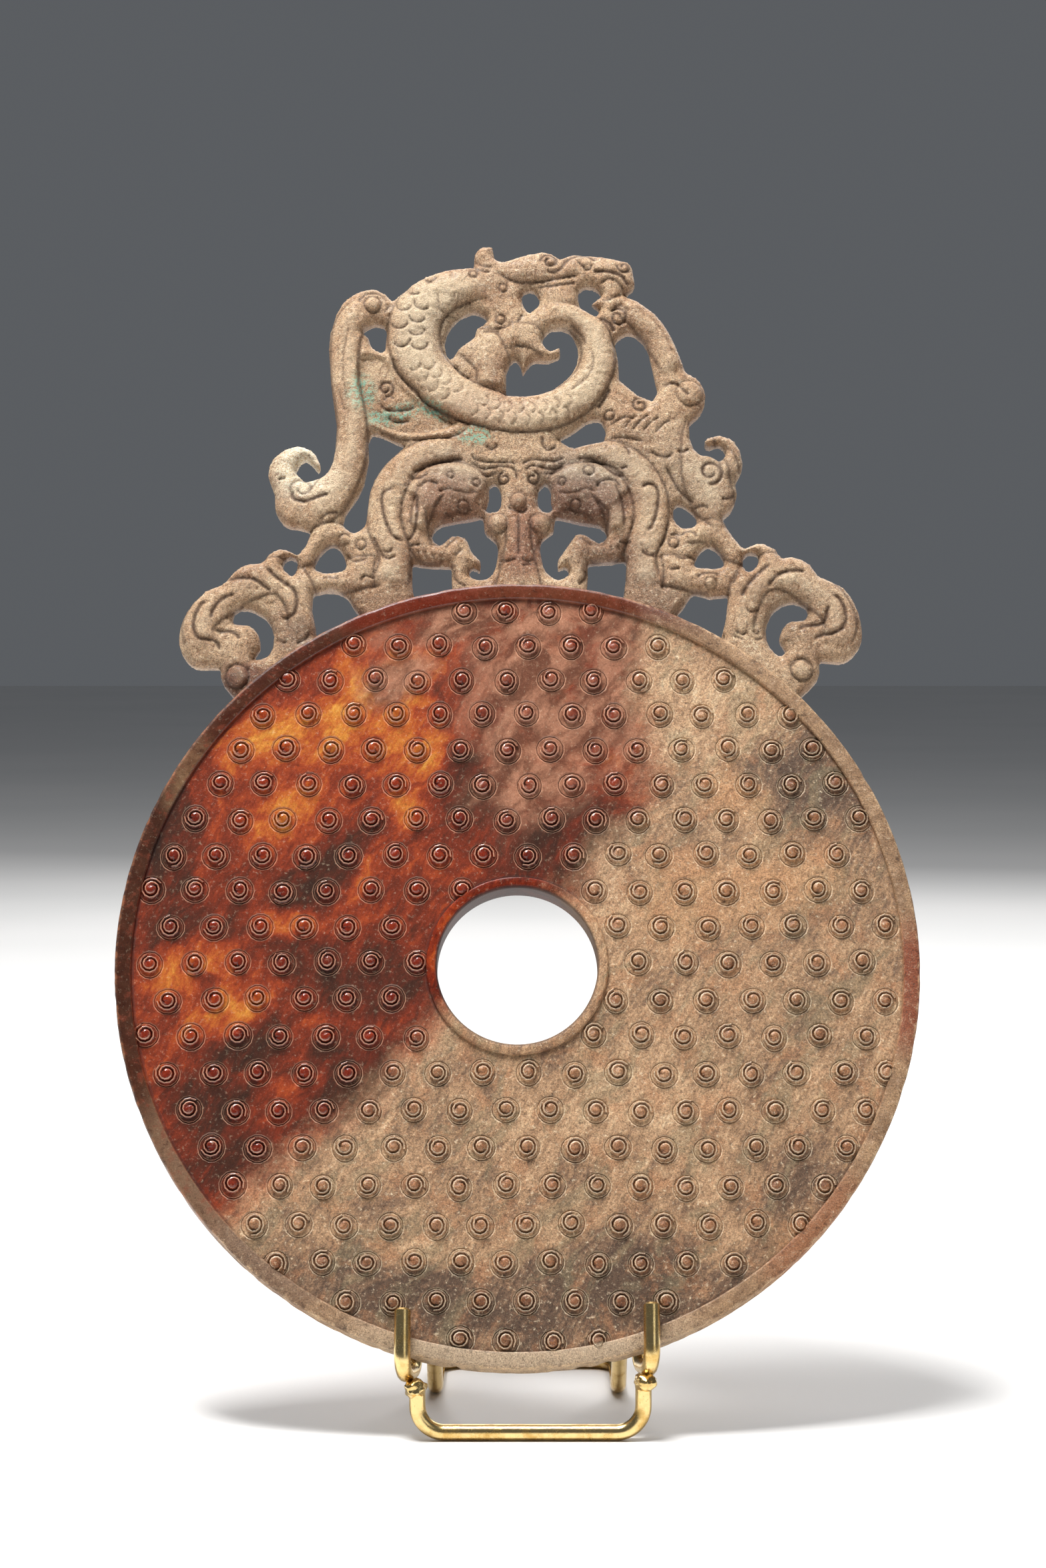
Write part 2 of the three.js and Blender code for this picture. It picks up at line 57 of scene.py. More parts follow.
# the disc and its rims; n runs from 0 at the front of the rims to the back of the disc
DISC_RADIUS = 100.0
DISC_THICKNESS = 9.6
HOLE_RADIUS = 20.0
EDGE_ROUND = 0.7
FIELD_DEPTH = 1.0
OUTER_RIM = 4.3
INNER_RIM = 2.8
FIELD_INNER = HOLE_RADIUS + INNER_RIM
FIELD_OUTER = DISC_RADIUS - OUTER_RIM
FIELD_HALF = DISC_THICKNESS / 2 - FIELD_DEPTH

CREST_THICKNESS = 7.8
MID_PLANE = -DISC_THICKNESS / 2
CREST_HALF = CREST_THICKNESS / 2

WIRE = 2.0

scene = bpy.context.scene
rng = random.Random(7)

jade_low, jade_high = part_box("bi_disc")
centre = Vector((
    (jade_low[0] + jade_high[0]) / 2,
    jade_low[1] + (DISC_RADIUS - EDGE_ROUND) * math.sin(LEAN) * MM,
    jade_low[2] + (DISC_RADIUS * math.cos(LEAN) + (DISC_THICKNESS - EDGE_ROUND) * math.sin(LEAN)) * MM,
))
to_world = (
    Matrix.Translation(centre)
    @ Matrix.Rotation(math.pi / 2 - LEAN, 4, "X")
    @ Matrix.Scale(MM, 4)
)
to_disc = to_world.inverted()


# ------------------------------------------------------------------ mesh helpers

def new_object(name, mesh):
    made = bpy.data.objects.new(name, mesh)
    scene.collection.objects.link(made)
    return made


def mesh_of(bm):
    """The finished bmesh as a mesh."""
    mesh = bpy.data.meshes.new("part")
    bm.to_mesh(mesh)
    bm.free()
    return mesh


def with_modifier(mesh, kind, **settings):
    """The mesh after one modifier has been applied to it."""
    holder = new_object("holder", mesh)
    modifier = holder.modifiers.new(kind, kind)
    for key, value in settings.items():
        setattr(modifier, key, value)
    graph = bpy.context.evaluated_depsgraph_get()
    result = bpy.data.meshes.new_from_object(holder.evaluated_get(graph))
    bpy.data.objects.remove(holder)
    bpy.data.meshes.remove(mesh)
    return result


def combined(mesh, tool, operation):
    """The mesh joined with a tool's mesh, or cut by it."""
    tool_holder = new_object("tool", tool)
    result = with_modifier(mesh, "BOOLEAN", object=tool_holder, operation=operation, solver="MANIFOLD")
    bpy.data.objects.remove(tool_holder)
    bpy.data.meshes.remove(tool)
    return result


def finish_piece(mesh, name, material, node, smooth_angle, place=to_world):
    """Puts a finished mesh in its place and hands it over as one piece of the part."""
    mesh.transform(place)
    mesh.name = name
    mesh.materials.clear()
    mesh.materials.append(material)
    mesh.shade_smooth()
    mesh.set_sharp_from_angle(angle=math.radians(smooth_angle))
    piece = new_object(name, mesh)
    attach(piece, "root")
    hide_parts(node)
    return piece


def turned(profile, steps):
    """A closed ring turned about the disc's axis from (radius, n) points."""
    bm = bmesh.new()
    points = [bm.verts.new((radius, 0, n)) for radius, n in profile]
    edges = [bm.edges.new((points[i - 1], points[i])) for i in range(len(points))]
    bmesh.ops.spin(
        bm, geom=points + edges, cent=(0, 0, 0), axis=(0, 0, 1),
        angle=2 * math.pi, steps=steps, use_merge=True,
    )
    bmesh.ops.recalc_face_normals(bm, faces=bm.faces)
    return mesh_of(bm)


# ------------------------------------------------------------------ disc

# A boss is wound of lines from its nub outwards: ridges, with a groove between their turns.
BOSS_SIDES = 11
BOSS_LINES = 4
BOSS_TURN = 2
BOSS_NUB = 0.5
BOSS_SPACING = 0.43
BOSS_HEIGHT = 1.6
BOSS_PEAK = 1.08
BOSS_FALL = 0.15
BOSS_GROOVE = 0.8
BOSS_FLARE = 0.1
BOSS_FOOT = 0.02
BOSS_SINK = 0.9
BOSS_WIDTHS = (0.93, 1.06)
BOSS_HEIGHTS = (0.9, 1)
ROUNDED_ABOVE = 0.3

# The ring groove round a boss is steep inside and slopes up outside.
RING_PROFILE = ((2.85, 0.2), (3.2, -0.32), (3.95, 0.2))
RING_SIDES = 14
RING_DROP = 0.22

ROW_START = 0.8
ROW_PITCH = 9.28
ROW_DROOP = 0.01
COLUMN_PITCH = 11.1
EVEN_ROW_START = -2.9
ODD_ROW_START = 2.6
ASTRAY_U = 0.5
ASTRAY_V = 0.45

WEB_STEPS = 96
OUTER_STEPS = 420
INNER_STEPS = 110

WEAR_BAND = 1.5
DEEPEST_FLAKE = 1.3
FOOT_ANGLE = -92
FOOT_ARC = 20


def boss_mesh():
    """One grain boss: a nub that runs out into a ridge wound about it, with a groove between."""
    bm = bmesh.new()
    # the layer held as worn is the hollow mark of the spiral groove; the finish darkens it as wax and
    # painted shade
    worn = bm.verts.layers.float.new("hollow")
    # the crown mark of the ridge is lightened in the finish as rubbed wear and painted highlight
    crown = bm.verts.layers.float.new("crown")
    bmesh.ops.create_grid(bm, x_segments=BOSS_SIDES, y_segments=BOSS_LINES, size=0.5)
    for vert in bm.verts:
        step = round((vert.co.x + 0.5) * BOSS_SIDES)
        line = round((vert.co.y + 0.5) * BOSS_LINES)
        wound = line + BOSS_TURN * step / BOSS_SIDES
        angle = -2 * math.pi * step / BOSS_SIDES
        level = BOSS_HEIGHT - BOSS_FALL * wound
        if line == BOSS_LINES:
            level = BOSS_FOOT
        elif line % BOSS_TURN == 0:
            cut = min(max(wound - 1, 0), 1)
            if wound < BOSS_TURN:
                level = level * (1 - BOSS_GROOVE * cut)
            else:
                level = BOSS_FOOT + BOSS_FLARE * (BOSS_LINES - wound)
            vert[worn] = cut
        else:
            vert[crown] = min(wound / BOSS_TURN, 1)
        reach = BOSS_NUB + BOSS_SPACING * wound
        vert.co = (reach * math.cos(angle), reach * math.sin(angle), level)
    bmesh.ops.remove_doubles(bm, verts=bm.verts, dist=0.02)
    eye_reach = BOSS_NUB + 2.1 * BOSS_SPACING
    open_edges = [e for e in bm.edges if e.is_boundary]
    inside = [e for e in open_edges if max(v.co.xy.length for v in e.verts) < eye_reach]
    eye = bmesh.ops.holes_fill(bm, edges=inside, sides=0)["faces"]
    for top in bmesh.ops.poke(bm, faces=eye)["verts"]:
        top.co.z = BOSS_HEIGHT * BOSS_PEAK
        top[worn] = 0.0
    open_edges = [e for e in bm.edges if e.is_boundary]
    skirt = bmesh.ops.extrude_edge_only(bm, edges=open_edges)["geom"]
    for vert in (g for g in skirt if isinstance(g, bmesh.types.BMVert)):
        vert.co.z = -BOSS_SINK
        vert[worn] = vert[crown] = 0.0
    bmesh.ops.holes_fill(bm, edges=[e for e in bm.edges if e.is_boundary], sides=0)
    bmesh.ops.recalc_face_normals(bm, faces=bm.faces)
    return mesh_of(bm)


def grain_places():
    """Rows of bosses, every other row set half a step across, each a little off."""
    places = []
    for row in range(-10, 11):
        v = ROW_START + ROW_PITCH * row - ROW_DROOP * row * row
        start = EVEN_ROW_START if row % 2 == 0 else ODD_ROW_START
        for column in range(-9, 10):
            u = start + COLUMN_PITCH * column + rng.uniform(-ASTRAY_U, ASTRAY_U)
            w = v + rng.uniform(-ASTRAY_V, ASTRAY_V)
            reach = math.hypot(u, w)
            if FIELD_INNER + 0.2 < reach < FIELD_OUTER - 0.4:
                places.append((u, w))
    return places


def scattered(template, places, facing):
    """Copies of a mesh on the front (facing 1) or the back (facing -1) of the field."""
    bm = bmesh.new()
    level = MID_PLANE + facing * FIELD_HALF
    flip = Matrix.Rotation(0 if facing > 0 else math.pi, 4, "X")
    for u, v in places:
        bm.from_mesh(template)
        bm.verts.ensure_lookup_table()
        added = bm.verts[-len(template.vertices):]
        turn = Matrix.Rotation(rng.uniform(0, 2 * math.pi), 4, "Z")
        across = rng.uniform(*BOSS_WIDTHS)
        up = rng.uniform(*BOSS_WIDTHS)
        high = rng.uniform(*BOSS_HEIGHTS)
        size = Matrix.Diagonal((across, up, high, 1))
        place = Matrix.Translation((u, v, level)) @ flip @ size @ turn
        bmesh.ops.transform(bm, matrix=place, verts=added)
    return mesh_of(bm)


def rim_mesh(inner, outer, steps, dip_inside):
    """A raised rim on both faces, rounded at its edges."""
    eased_edge = [(0, -1.6), (0, -0.7), (0.25, -0.2), (0.7, -0.03), (0.95, 0)]
    crisp_edge = [(0, -1.35), (0.22, -0.3), (0.5, -0.04), (0.7, 0)]
    start, end = (crisp_edge, eased_edge) if dip_inside else (eased_edge, crisp_edge)
    front = [(inner + across, n) for across, n in start]
    front += [(outer - across, n) for across, n in reversed(end)]
    back = [(radius, -DISC_THICKNESS - n) for radius, n in reversed(front)]
    return turned(front + back, steps)


def wear_edge(mesh):
    """Knocks small flakes out of the outer edge, most of them at the foot of the disc."""
    for vert in mesh.vertices:
        reach = vert.co.xy.length
        near = min(max((reach - DISC_RADIUS + WEAR_BAND) / 1.2, 0), 1)
        angle = math.degrees(math.atan2(vert.co.y, vert.co.x))
        foot = math.exp(-((angle - FOOT_ANGLE) / FOOT_ARC) ** 2)
        side = 0.35 + 0.3 * noise.noise(vert.co * 0.03)
        flake = max(noise.noise(vert.co * 0.24 + Vector((3, 1, 7))) - 0.08, 0)
        flake = flake * (1.1 * side + 1.5 * foot)
        nick = noise.noise(vert.co * 0.9) * (0.12 + 0.16 * foot)
        cut = near * max(flake + nick, 0)
        vert.co.xy *= (reach - min(cut, DEEPEST_FLAKE)) / reach
        vert.co.z += (MID_PLANE - vert.co.z) * 0.05 * cut
    return mesh


def disc_mesh():
    """The disc: a thin web with ringed bosses on both faces, and a rim inside and outside."""
    inner, outer = HOLE_RADIUS + 1, DISC_RADIUS - 2.2
    low, high = -DISC_THICKNESS + FIELD_DEPTH, -FIELD_DEPTH
    body = turned([(inner, high), (outer, high), (outer, low), (inner, low)], WEB_STEPS)
    grain = grain_places()
    grain_back = [(-u, v) for u, v in grain]
    ring, boss = turned(RING_PROFILE, RING_SIDES), boss_mesh()
    for facing, places in ((1, grain), (-1, grain_back)):
        rings = [(u, v - RING_DROP) for u, v in places]
        body = combined(body, scattered(ring, rings, facing), "DIFFERENCE")
        body = combined(body, scattered(boss, places, facing), "UNION")
    rim = wear_edge(rim_mesh(FIELD_OUTER, DISC_RADIUS, OUTER_STEPS, True))
    body = combined(body, rim, "UNION")
    return combined(body, rim_mesh(HOLE_RADIUS, FIELD_INNER, INNER_STEPS, False), "UNION")


def round_bosses(mesh):
    """Lets the bosses shade as rounded forms, without hard edges above their feet."""
    places = np.empty(len(mesh.vertices) * 3)
    mesh.vertices.foreach_get("co", places)
    turn = np.array(to_disc)
    places = places.reshape(-1, 3) @ turn[:3, :3].T + turn[:3, 3]
    reach = np.hypot(places[:, 0], places[:, 1])
    lift = np.abs(places[:, 2] - MID_PLANE) - FIELD_HALF
    in_field = (reach > FIELD_INNER + 0.1) & (reach < FIELD_OUTER - 0.1)
    raised = in_field & (lift > ROUNDED_ABOVE)
    ends = np.empty(len(mesh.edges) * 2, int)
    mesh.edges.foreach_get("vertices", ends)
    sharp = mesh.attributes["sharp_edge"]
    marks = np.empty(len(mesh.edges), bool)
    sharp.data.foreach_get("value", marks)
    marks[raised[ends.reshape(-1, 2)].all(axis=1)] = False
    sharp.data.foreach_set("value", marks)


# ------------------------------------------------------------------ crest

VOXEL = 0.36
CREST_TRIANGLES = 190000
CREST_FOOT = 2.6
OUTLINE_STEP = 0.4
TURN_OVER = 2.0
PILLOW = 1.5
PILLOW_REACH = 3.0
PITTING = 0.26
THINNEST_HALF = 0.8
FRONT_RISE = 1.9
BACK_RISE = 1.4
BACK_SHARE = 0.75


def crest_plate():
    """The openwork plate of the crest as an even mesh with square edges, and its outline."""
    bm = bmesh.new()
    bm.from_mesh(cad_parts["bi_disc"].data)
    bm.transform(to_disc)
    bmesh.ops.remove_doubles(bm, verts=bm.verts, dist=0.002)
    cut = bmesh.ops.bisect_plane(
        bm, geom=bm.verts[:] + bm.edges[:] + bm.faces[:], plane_co=(0, 0, MID_PLANE),
        plane_no=(0, 0, 1), clear_inner=True, clear_outer=True,
    )["geom_cut"]
    outline = [g for g in cut if isinstance(g, bmesh.types.BMEdge)]
    edges = [(e.verts[0].co.copy(), e.verts[1].co.copy()) for e in outline]
    bmesh.ops.triangle_fill(bm, edges=outline, use_beauty=True, normal=(0, 0, 1))
    raised = bmesh.ops.extrude_face_region(bm, geom=bm.faces[:], use_keep_orig=True)["geom"]
    top = [g for g in raised if isinstance(g, bmesh.types.BMVert)]
    bmesh.ops.translate(bm, verts=bm.verts, vec=(0, 0, -CREST_HALF))
    bmesh.ops.translate(bm, verts=top, vec=(0, 0, CREST_THICKNESS))
    bmesh.ops.recalc_face_normals(bm, faces=bm.faces)
    plate = combined(mesh_of(bm), round_plug(DISC_RADIUS + 0.03), "DIFFERENCE")
    for vert in plate.vertices:
        reach = vert.co.xy.length
        if reach < DISC_RADIUS + 0.1:
            vert.co.xy *= (DISC_RADIUS - CREST_FOOT) / reach
    return with_modifier(plate, "REMESH", mode="VOXEL", voxel_size=VOXEL, adaptivity=0), edges


def round_plug(radius):
    """A round solid as wide as the disc, which cuts the disc's own area out of the plate."""
    bm = bmesh.new()
    bmesh.ops.create_cone(bm, cap_ends=True, segments=360, radius1=radius, radius2=radius, depth=40)
    return mesh_of(bm)


def smooth_run(points, step=0.5, closed=False):
    """A smooth line through a few points, as closely spaced points."""
    if closed:
        points = [points[-1]] + list(points) + [points[0], points[1]]
    else:
        ahead = (2 * points[0][0] - points[1][0], 2 * points[0][1] - points[1][1])
        behind = (2 * points[-1][0] - points[-2][0], 2 * points[-1][1] - points[-2][1])
        points = [ahead] + list(points) + [behind]
    stops = []
    for a, b, c, d in zip(points, points[1:], points[2:], points[3:]):
        a, b, c, d = (np.array(p, float) for p in (a, b, c, d))
        count = max(2, int(np.hypot(*(c - b)) / step) + 1)
        t = np.linspace(0, 1, count, endpoint=False)[:, None]
        stops.append(0.5 * (2 * b + (c - a) * t + (2 * a - 5 * b + 4 * c - d) * t ** 2
                            + (3 * b - a - 3 * c + d) * t ** 3))
    stops.append(np.array(points[-2], float)[None])
    return np.concatenate(stops)


def eased(values):
    """Runs smoothly from 0 to 1."""
    values = np.clip(values, 0, 1)
    return values * values * (3 - 2 * values)


class Carving:
    """Height of a carved face over (u, v), worked by strokes of the carver's tools."""

    def __init__(self, places, height):
        self.places = places
        self.height = height
        self.hollow = np.zeros(len(height))

    def darken(self, found, amount):
        """Marks places as hollow, to be darkened in the finish as dirt and painted shade."""
        self.hollow[found] = np.maximum(self.hollow[found], amount)

    def near(self, points, reach):
        """Which places lie in the box round some points."""
        low = points.min(0) - reach
        high = points.max(0) + reach
        inside = np.all((self.places > low) & (self.places < high), axis=1)
        return np.flatnonzero(inside)

    def span(self, points, reach, found=None):
        """Which places lie near a line, how far from it, and how far along it."""
        if found is None:
            found = self.near(points, reach)
        place = self.places[found]
        best = np.full(len(found), 1e9)
        along = np.zeros(len(found))
        lengths = np.hypot(*(points[1:] - points[:-1]).T)
        total = max(lengths.sum(), 1e-6)
        run = 0
        for start, end, length in zip(points, points[1:], lengths):
            edge = end - start
            t = np.clip(((place - start) @ edge) / max(length ** 2, 1e-9), 0, 1)
            gap = place - start - t[:, None] * edge
            distance = np.hypot(gap[:, 0], gap[:, 1])
            closer = distance < best
            best[closer] = distance[closer]
            along[closer] = (run + t[closer] * length) / total
            run += length
        return found, best, along

    def line(self, points, width=0.95, depth=0.55):
        """A narrow groove with rounded shoulders that fades at its ends."""
        run = smooth_run(points)
        found, distance, along = self.span(run, 2 * width)
        fade = eased(np.minimum(along, 1 - along) * 9 + 0.25)
        cut = depth * fade * np.exp(-(distance / (0.56 * width)) ** 2)
        self.height[found] -= cut
        self.darken(found, cut / 0.6)

    def seam(self, points, depth, reach):
        """A deep valley where two rounded forms meet."""
        run = smooth_run(points)
        found, distance, along = self.span(run, 3.2 * reach)
        fade = eased(np.minimum(along, 1 - along) * 7 + 0.2)
        cut = depth * fade * np.exp(-distance / reach * 1.25)
        self.height[found] -= cut
        self.darken(found, fade * np.exp(-distance / 0.55) * min(depth, 1.2))

    def limb(self, points, half_widths, rise, moat):
        """A round band along a line, whose half width changes from point to point."""
        run = smooth_run(points)
        found, distance, along = self.span(run, max(half_widths) + 3)
        width = np.interp(along, np.linspace(0, 1, len(half_widths)), half_widths)
        ends = eased(np.minimum(along, 1 - along) * 10 + 0.1)
        bulge = np.sqrt(np.clip(1 - (distance / width) ** 2, 0, 1)) * rise
        ring = moat * np.exp(-np.abs(distance - width) / 0.7)
        self.height[found] += ends * (bulge - ring)
        self.darken(found, 0.8 * ends * np.exp(-((distance - width) / 0.6) ** 2))

    def dome(self, u, v, radius, height, moat):
        """A rounded knob in a ring groove."""
        found = self.near(np.array([[u, v]]), radius * 1.9)
        distance = np.hypot(*(self.places[found] - (u, v)).T)
        bulge = height * np.sqrt(np.clip(1 - (distance / radius) ** 2, 0, 1))
        ring = moat * np.exp(-((distance - radius) / 0.5) ** 2)
        self.height[found] += bulge - ring
        self.darken(found, ring / 0.6)

    def swell(self, u, v, across, up, height):
        """A broad soft mound."""
        found = self.near(np.array([[u, v]]), 2.4 * max(across, up))
        x, y = (self.places[found] - (u, v)).T
        self.height[found] += height * np.exp(-((x / across) ** 2 + (y / up) ** 2))

    def volute(self, u, v, radius, turns, start, sense, depth=0.6, width=0.9):
        """A spiral groove that winds in to a small round eye."""
        stops = int(14 * turns) + 2
        points = []
        for i in range(stops):
            t = i / (stops - 1)
            angle = math.radians(start + sense * 360 * turns * t)
            reach = radius * (1 - 0.78 * t)
            points.append((u + reach * math.cos(angle), v + reach * math.sin(angle)))
        self.line(points, width, depth)

    def sunk(self, points, depth, soft):
        """An area cut down below its surroundings, with sloping sides."""
        run = smooth_run(points, 0.8, closed=True)
        found = self.near(run, soft)
        place = self.places[found]
        inside = np.zeros(len(found), bool)
        for (ax, ay), (bx, by) in zip(run, np.roll(run, -1, axis=0)):
            if ay == by:
                continue
            crosses = (place[:, 1] > min(ay, by)) & (place[:, 1] <= max(ay, by))
            x = ax + (place[:, 1] - ay) * (bx - ax) / (by - ay)
            inside ^= crosses & (place[:, 0] < x)
        _, distance, _ = self.span(np.vstack([run, run[:1]]), 0, found)
        cut = np.where(inside, eased(distance / soft), 0)
        self.height[found] -= depth * cut
        self.darken(found, 0.35 * cut)

    def scales(self, points, size, rows, depth):
        """Rows of U-shaped scales laid along a line."""
        run = smooth_run(points, 0.3)
        lengths = np.concatenate([[0], np.cumsum(np.hypot(*(run[1:] - run[:-1]).T))])
        count = max(1, int(lengths[-1] / size))
        for row in range(rows):
            offset = (row - (rows - 1) / 2) * size * 0.95
            for i in range(count):
                middle = (i + 0.5 * (row % 2) + 0.5) * size
                k = min(int(np.searchsorted(lengths, middle)), len(run) - 2)
                ahead = run[k + 1] - run[k]
                ahead = ahead / max(np.hypot(*ahead), 1e-6)
                aside = np.array([-ahead[1], ahead[0]])
                heart = run[k] + offset * aside
                arc = []
                for degrees in (-80, -40, 0, 40, 80):
                    angle = math.radians(degrees)
                    out = math.cos(angle) * ahead + math.sin(angle) * aside
                    arc.append(tuple(heart + 0.5 * size * out))
                self.line(arc, 0.7, depth)


def raise_limbs(face):
    """The big round forms, before any line is cut on them."""
    face.limb(
        [(-5, 184.4), (-14, 183.6), (-21.5, 180.2), (-26.2, 174), (-26.8, 166), (-23.4, 158.6),
         (-15.8, 151.6), (-6, 147.8), (3, 147), (11.5, 149.2), (17.6, 154.2), (20.8, 161),
         (20.2, 168), (16, 173), (10.5, 174.4), (5, 173)],
        (4.6, 5.6, 6.4, 6.7, 6.8, 6.4, 5.8, 5.3, 5.2, 5.2, 5.1, 4.9, 4.5, 3.9, 3.3, 2.8), 1.7, 0.5,
    )
    face.limb(
        [(-38.4, 176.6), (-43.6, 172), (-45, 164), (-44.8, 156), (-43.2, 147), (-43, 138),
         (-45.4, 130), (-50.4, 121.6), (-56, 121)],
        (4, 4, 3.7, 3.6, 3.8, 4.2, 4.8, 5, 4.6), 1.2, 0.3,
    )
    face.limb([(27.4, 177.4), (33.6, 173), (38.2, 166), (41, 159)], (3.4, 4.2, 4.2, 3.6), 1.1, 0.2)
    face.limb([(-14, 169), (-9.6, 165.6), (-6.4, 160), (-6.6, 154)], (5, 5.4, 4.6, 4), 0.9, 0)
    face.limb([(-3, 168.6), (3, 168.4), (8.4, 164.2)], (3.4, 3.2, 1.8), 0.7, 0)
    for s in (-1, 1):
        face.limb(
            [(s * 14, 136.6), (s * 23, 136.2), (s * 30, 131.6), (s * 34, 124), (s * 34, 116),
             (s * 31.4, 108), (s * 32.6, 99)],
            (3, 3.4, 4.2, 4.6, 4.4, 4, 4.4), 1.0, 0.5,
        )
        face.limb(
            [(s * 25, 121.4), (s * 20.6, 125.6), (s * 14, 126.4), (s * 9, 124.4)],
            (6.4, 7.4, 6.6, 4.4), 1.3, 0.3,
        )
        face.limb([(s * 22, 125.6), (s * 24.2, 121), (s * 25.4, 115)], (3.3, 2.8, 2), 1.1, 0.45)
        face.limb(
            [(s * 27, 120), (s * 25.6, 113), (s * 23.4, 108.8), (s * 18, 109)],
            (3.4, 3, 2.6, 2.2), 0.7, 0.4,
        )
        face.limb([(s * 7, 104), (s * 6.4, 109), (s * 8, 112.6)], (2.2, 2, 1.8), 0.5, 0.2)
    face.limb([(0.3, 119), (0.3, 112), (0.3, 104), (0.3, 98)], (3, 3.2, 4.6, 6.4), 0.8, 0.3)
    face.limb(
        [(47, 146.6), (46.6, 139), (48, 132), (50, 124), (54.4, 116)],
        (3, 4.4, 6.2, 5.6, 3.6), 1.0, 0.3,
    )
    face.limb([(52.4, 137), (54.2, 134.6), (54.6, 130)], (1.6, 2.2, 3), 0.5, 0.1)
    face.limb(
        [(56, 86), (57.4, 95), (61.4, 102.4), (69, 103.6), (77, 98.4), (82.4, 90.4), (80.4, 83.6)],
        (3.6, 4.2, 5, 5.2, 5, 4.2, 3.6), 0.9, 0.2,
    )
    face.limb(
        [(-54.6, 86), (-55, 95), (-59.6, 102), (-67.6, 101.6), (-75.4, 97), (-81.4, 89.4),
         (-79.6, 82.4)],
        (3.4, 4.2, 5, 5.2, 5, 4.2, 3.6), 0.9, 0.2,
    )
    face.limb([(36, 104), (42.6, 103.4), (50.6, 101)], (4, 4.6, 3.2), 0.8, 0.3)
    face.limb([(-35, 104), (-42, 103), (-49.6, 100.8)], (4, 4.6, 3.2), 0.8, 0.3)
    face.limb([(42, 114), (51, 114.4), (56, 109), (61, 109.8)], (2.6, 3, 3, 2.4), 0.6, 0.2)
    face.limb([(-42, 114), (-50, 113.6), (-55, 108), (-60.6, 108)], (2.6, 3, 3, 2.2), 0.6, 0.2)


def carve_top_dragon(face):
    # skull, jaws and horn
    face.swell(4, 187, 8, 4, 0.5)
    face.swell(24, 187.5, 5, 3.5, 0.5)
    face.seam(
        [(-5.9, 186.6), (-3.1, 184.8), (-0.9, 183.9), (2.2, 183.6), (8.3, 184.1), (14, 185.4),
         (16.9, 186)],
        1.1, 1.3,
    )
    face.line([(5.1, 182.3), (10.1, 182.6), (15.4, 183.6)])
    face.line([(19.7, 186.4), (22.6, 186.4), (25.4, 185.9), (27.4, 185), (29, 182.5)], 1.1, 0.7)
    for points in (
        [(21.5, 183.2), (23.6, 184.4), (25.8, 183.8), (27.9, 181.4)],
        [(21.9, 178.6), (24.4, 178.9), (27.2, 180.4)],
        [(-11.1, 189.8), (-9.1, 188), (-6.3, 187.7)],
        [(-12, 188.4), (-9.8, 186.6), (-7, 186.2)],
    ):
        face.line(points)
    face.volute(8.4, 189.4, 2.5, 1.5, 200, -1)
    face.dome(8.6, 189.5, 1.0, 0.4, 0.3)
    face.line(
        [(7.2, 186.6), (9.4, 186.3), (11.1, 187.1), (12.6, 189.3), (14, 190.5), (15.8, 191.3),
         (18.3, 191.1), (19.7, 190), (21.1, 189.5)],
        1.0, 0.6,
    )
    face.line([(15.4, 189.6), (16.9, 188.2), (17.8, 187), (19, 187.3), (19.5, 188.9)], 0.8, 0.6)
    face.dome(17.6, 188.9, 0.9, 0.5, 0.2)
    face.volute(27.9, 187.9, 1.9, 1.3, 150, 1)
    # the ring of the neck, scaled on the left and folded on the right
    face.scales([(-23.5, 182), (-27, 177.5), (-28.5, 171.5), (-27.6, 165.5)], 4.5, 2, 0.5)
    face.scales([(-26.5, 162.5), (-22.5, 156.5), (-16.5, 152)], 3.5, 2, 0.36)
    face.scales([(-13, 149.5), (-5, 147), (4, 146.2), (14, 148.5)], 3.3, 2, 0.36)
    face.line([(-24.2, 184), (-22.9, 183), (-20.9, 184.6)])
    face.line([(-20.8, 180.4), (-20.6, 177), (-20.2, 175.4), (-17, 174), (-14.5, 174.5)], 0.9, 0.35)
    for i in range(5):
        face.line([(-16.2 + i, 180.2 - 0.2 * i), (-17 + 1.1 * i, 177.2 - 0.3 * i)], 0.6, 0.35)
    face.dome(-11.6, 185.4, 1.0, 0.3, 0.5)
    face.dome(-3.8, 181.8, 1.1, 0.3, 0.5)
    face.dome(-4.5, 173, 1.2, 0.4, 0.5)
    for points in (
        [(-0.1, 172.1), (1.3, 174.6)],
        [(-10.6, 170.7), (-5.6, 170.4), (-1.3, 171.4)],
        [(-9.1, 169.5), (-4.5, 169.5)],
        [(-0.6, 166.1), (1.6, 165.2)],
        [(-16.6, 160), (-14.5, 157.5), (-12.4, 156.1)],
        [(13.6, 171.6), (15.4, 170), (16.9, 167.9), (17.9, 165.7)],
    ):
        face.line(points)
    face.line([(21.5, 173.8), (24.4, 171.4), (25, 169.6)], 1.1, 0.7)
    face.line([(19.3, 164.4), (19.6, 159.5), (17.4, 155.6), (13.6, 152.6)], 0.9, 0.4)
    face.volute(26.1, 173.6, 2.6, 1.5, 140, -1)
    face.line([(24.4, 175), (26.5, 177.1), (29.2, 175)])
    face.seam(
        [(-33.1, 162.1), (-31.3, 158.6), (-28.8, 155.4), (-26.3, 153.2), (-24.4, 150.4),
         (-21.2, 148.4), (-18, 146.6), (-14, 144.6), (-11.2, 143.4)],
        1.2, 1.6,
    )


